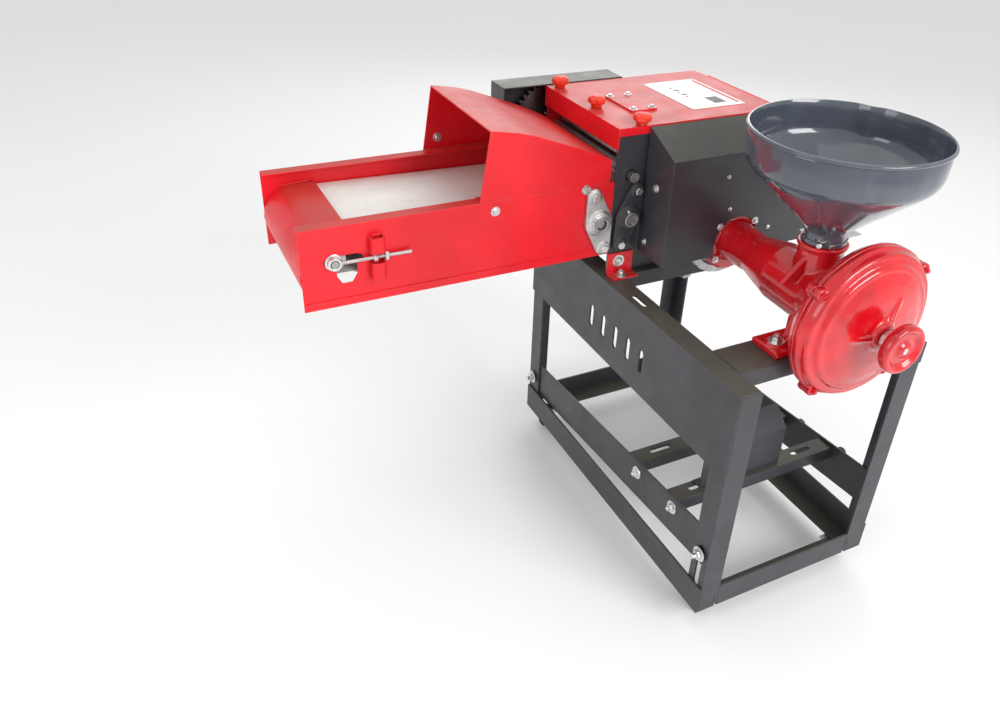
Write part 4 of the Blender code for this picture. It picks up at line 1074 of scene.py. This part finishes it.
def build_cover_details():
    """The hatch's bolts, and the riveted label plate with its dark and red blocks."""
    hatch_z = LID_TOP + 3.0
    spots = [((x, y, hatch_z), (0, 0, 1)) for x, y in ((83, 473), (121, 473), (83, 551), (121, 551))]
    fasteners("hatch_screws", "cutter_cover", spots, lambda: hex_bolt(8.0, 3.2, True))
    plate_x = (190.0, 306.0)
    plate_y = (444.0, 606.0)
    z = LID_TOP + 0.1
    label = bmesh.new()
    add_box(label, plate_x, plate_y, (z, z + 0.7))
    finish_piece("label_plate", label, LABEL, "cutter_cover", angle=30)
    dark = bmesh.new()
    top = z + 0.75
    add_box(dark, (252, 278), (462, 496), (top, top + 0.25))
    for number in range(5):
        low = 508 + 13 * number
        add_box(dark, (222, 226 + 8 * (number % 2)), (low, low + 6), (top, top + 0.25))
    finish_piece("label_dark_marks", dark, INK_DARK, "cutter_cover", angle=30)
    red = bmesh.new()
    add_box(red, (294, 302), (454, 596), (top, top + 0.25))
    finish_piece("label_red_band", red, INK_RED, "cutter_cover", angle=30)
    rivets = [((x, y, z + 0.6), (0, 0, 1)) for x in (194.5, 301.5) for y in (449.0, 601.0)]
    fasteners("label_rivets", "cutter_cover", rivets, lambda: round_screw(2.2, 1.2))


def build_guard_details():
    """Screws of the belt guard and the gear guard."""
    y = GUARD_LOW.y
    spots = [((GUARD_LOW.x + 117, y, GUARD_HIGH.z - 76), (0, -1, 0)),
             ((GUARD_LOW.x + 131, y, GUARD_HIGH.z - 138), (0, -1, 0)),
             ((GUARD_LOW.x + 228, y, GUARD_HIGH.z - 188), (0, -1, 0))]
    fasteners("belt_guard_screws", "stand", spots, lambda: round_screw(4.2, 2.2))
    side = [((GUARD_LOW.x, GUARD_LOW.y + 42, GUARD_HIGH.z - 96), (-1, 0, 0)),
            ((GUARD_LOW.x, GUARD_LOW.y + 60, GUARD_LOW.z + 24), (-1, 0, 0))]
    fasteners("belt_guard_side_screws", "stand", side, lambda: hex_bolt(8.0, 3.2, True))
    low, high = in_mm("gear_guard")
    corners = ((low.x + 30, high.z - 22), (high.x - 130, high.z - 22),
               (low.x + 30, low.z + 44), (high.x - 40, low.z + 26))
    back = [((x, high.y, z), (0, 1, 0)) for x, z in corners]
    fasteners("gear_guard_screws", "stand", back, lambda: hex_bolt(9.0, 3.6, True))


def build_stand_details():
    """Bolts of the swinging motor base, the housing's foot bracket and weld seams of the stand."""
    width = STAND_HIGH.x
    clamp_y, pivot_y = 20.0, 635.0
    clamps = [((0, clamp_y, 126), (-1, 0, 0)), ((width, clamp_y, 126), (1, 0, 0)),
              ((0, pivot_y, 90), (-1, 0, 0)), ((width, pivot_y, 90), (1, 0, 0))]
    fasteners("motor_base_clamp_bolts", "stand", clamps, lambda: hex_bolt(15.0, 6.0, True, 6.0))
    left, right = in_mm("motor_rail_left")[0].x, in_mm("motor_rail_right")[1].x
    rails = [((left, y, z), (-1, 0, 0)) for y, z in ((209, 154), (100, 164))]
    rails += [((right, y, z), (1, 0, 0)) for y, z in ((209, 140), (100, 150))]
    fasteners("motor_rail_bolts", "motor_base", rails, lambda: hex_bolt(13.0, 5.3, True, 3.0))
    wall = in_mm("housing_side_near")[0].y - 0.3
    bracket = bmesh.new()
    foot = [(wall, STAND_TOP + 42), (wall, STAND_TOP + 0.4), (wall - 27, STAND_TOP + 0.4)]
    add_prism(bracket, sheet_outline(rounded(foot, 4.0, 4), -2.6), "x", 12, 64)
    finish_piece("housing_foot_bracket", bracket, RED, angle=40)
    bolt = [((34, wall - 15, STAND_TOP + 3.0), (0, 0, 1)), ((34, wall - 2.6, STAND_TOP + 26), (0, -1, 0))]
    fasteners("housing_foot_bolts", "stand", bolt, lambda: hex_bolt(13.0, 5.3, True, 3.0))
    low, high = in_mm("mill_cross_member")
    for name, x in (("left", low.x), ("right", high.x)):
        weld_bead("cross_member_weld_" + name, (x, low.y + 4, STAND_TOP), (x, high.y - 4, STAND_TOP), 1.7,
                  GREY)
    for name, x in (("left", 38.0), ("right", width - 38.0)):
        weld_bead("near_rail_weld_" + name, (x, 1.2, 3), (x, 1.2, 36), 1.6, GREY)


# ---------------- camera, light and floor

CAMERA_PLACE = (-0.68125, -1.06383, 1.23881)
CAMERA_TURN = (58.592, -2.503, -26.772)
CAMERA_LENS = 30.836
CAMERA_SHIFT = (-0.03246, -0.03596)


def add_camera():
    data = bpy.data.cameras.new("photo_camera")
    data.sensor_width = 36.0
    data.lens = CAMERA_LENS
    data.shift_x, data.shift_y = CAMERA_SHIFT
    data.clip_start = 0.02
    camera = new_object("photo_camera", data)
    camera.location = CAMERA_PLACE
    camera.rotation_euler = [math.radians(angle) for angle in CAMERA_TURN]
    bpy.context.scene.camera = camera


def add_light(name, place, target, size, power, color=(1.0, 1.0, 1.0)):
    data = bpy.data.lights.new(name, "AREA")
    data.shape = "RECTANGLE"
    data.size, data.size_y = size
    data.energy = power
    data.color = color
    lamp = new_object(name, data)
    lamp.location = place
    toward = Vector(target) - Vector(place)
    lamp.rotation_euler = toward.to_track_quat("-Z", "Y").to_euler()


def add_stage():
    """A pale floor, large soft lights and an even pale surround."""
    bm = bmesh.new()
    half = 30.0
    corners = ((-half, -half, 0), (half, -half, 0), (half, half, 0), (-half, half, 0))
    bm.faces.new([bm.verts.new(corner) for corner in corners])
    mesh = bpy.data.meshes.new("floor")
    bm.to_mesh(mesh)
    bm.free()
    n = Nodes("floor_paper")
    n.set(Base_Color=n.mix(n.noise(1.5), (0.90, 0.90, 0.90), (0.93, 0.93, 0.93)), Roughness=0.9)
    mesh.materials.append(n.done())
    floor = new_object("floor", mesh)
    middle_height = (0.0, 0.0, 0.5)
    add_light("key_light", (0.9, -2.6, 2.0), middle_height, (1.6, 1.2), 54.0)
    add_light("left_light", (-2.8, -0.4, 1.6), middle_height, (1.4, 1.4), 15.0)
    add_light("top_light", (0.2, 0.4, 3.2), middle_height, (2.4, 2.4), 14.0)
    add_light("back_light", (1.6, 2.4, 1.8), middle_height, (1.6, 1.2), 12.0)
    world = bpy.data.worlds.new("pale_surround")
    world.use_nodes = True
    background = world.node_tree.nodes["Background"]
    background.inputs["Color"].default_value = (1.0, 1.0, 1.0, 1.0)
    background.inputs["Strength"].default_value = 0.75
    bpy.context.scene.world = world
    bpy.context.scene.view_settings.view_transform = "Standard"


def build_all():
    random.seed(RANDOM_SEED)
    soften_all()
    build_mill_body()
    build_mill_cover()
    build_mill_bolts()
    build_gap_spring()
    build_handwheel()
    build_lock_nut()
    build_hopper()
    build_bearing("head_bearing", "bearing_head_roller", HEAD, 14, ALLOY)
    build_bearing("feed_bearing", "bearing_lower_feed", LOWER_FEED, -14, GREY)
    for side in ("near", "far"):
        build_tensioner("tension_eye_bolt_" + side, "tension_bolt_" + side)
    build_knobs()
    build_belt()
    build_chain()
    build_tray_details()
    build_cover_details()
    build_guard_details()
    build_stand_details()
    add_camera()
    add_stage()


build_all()
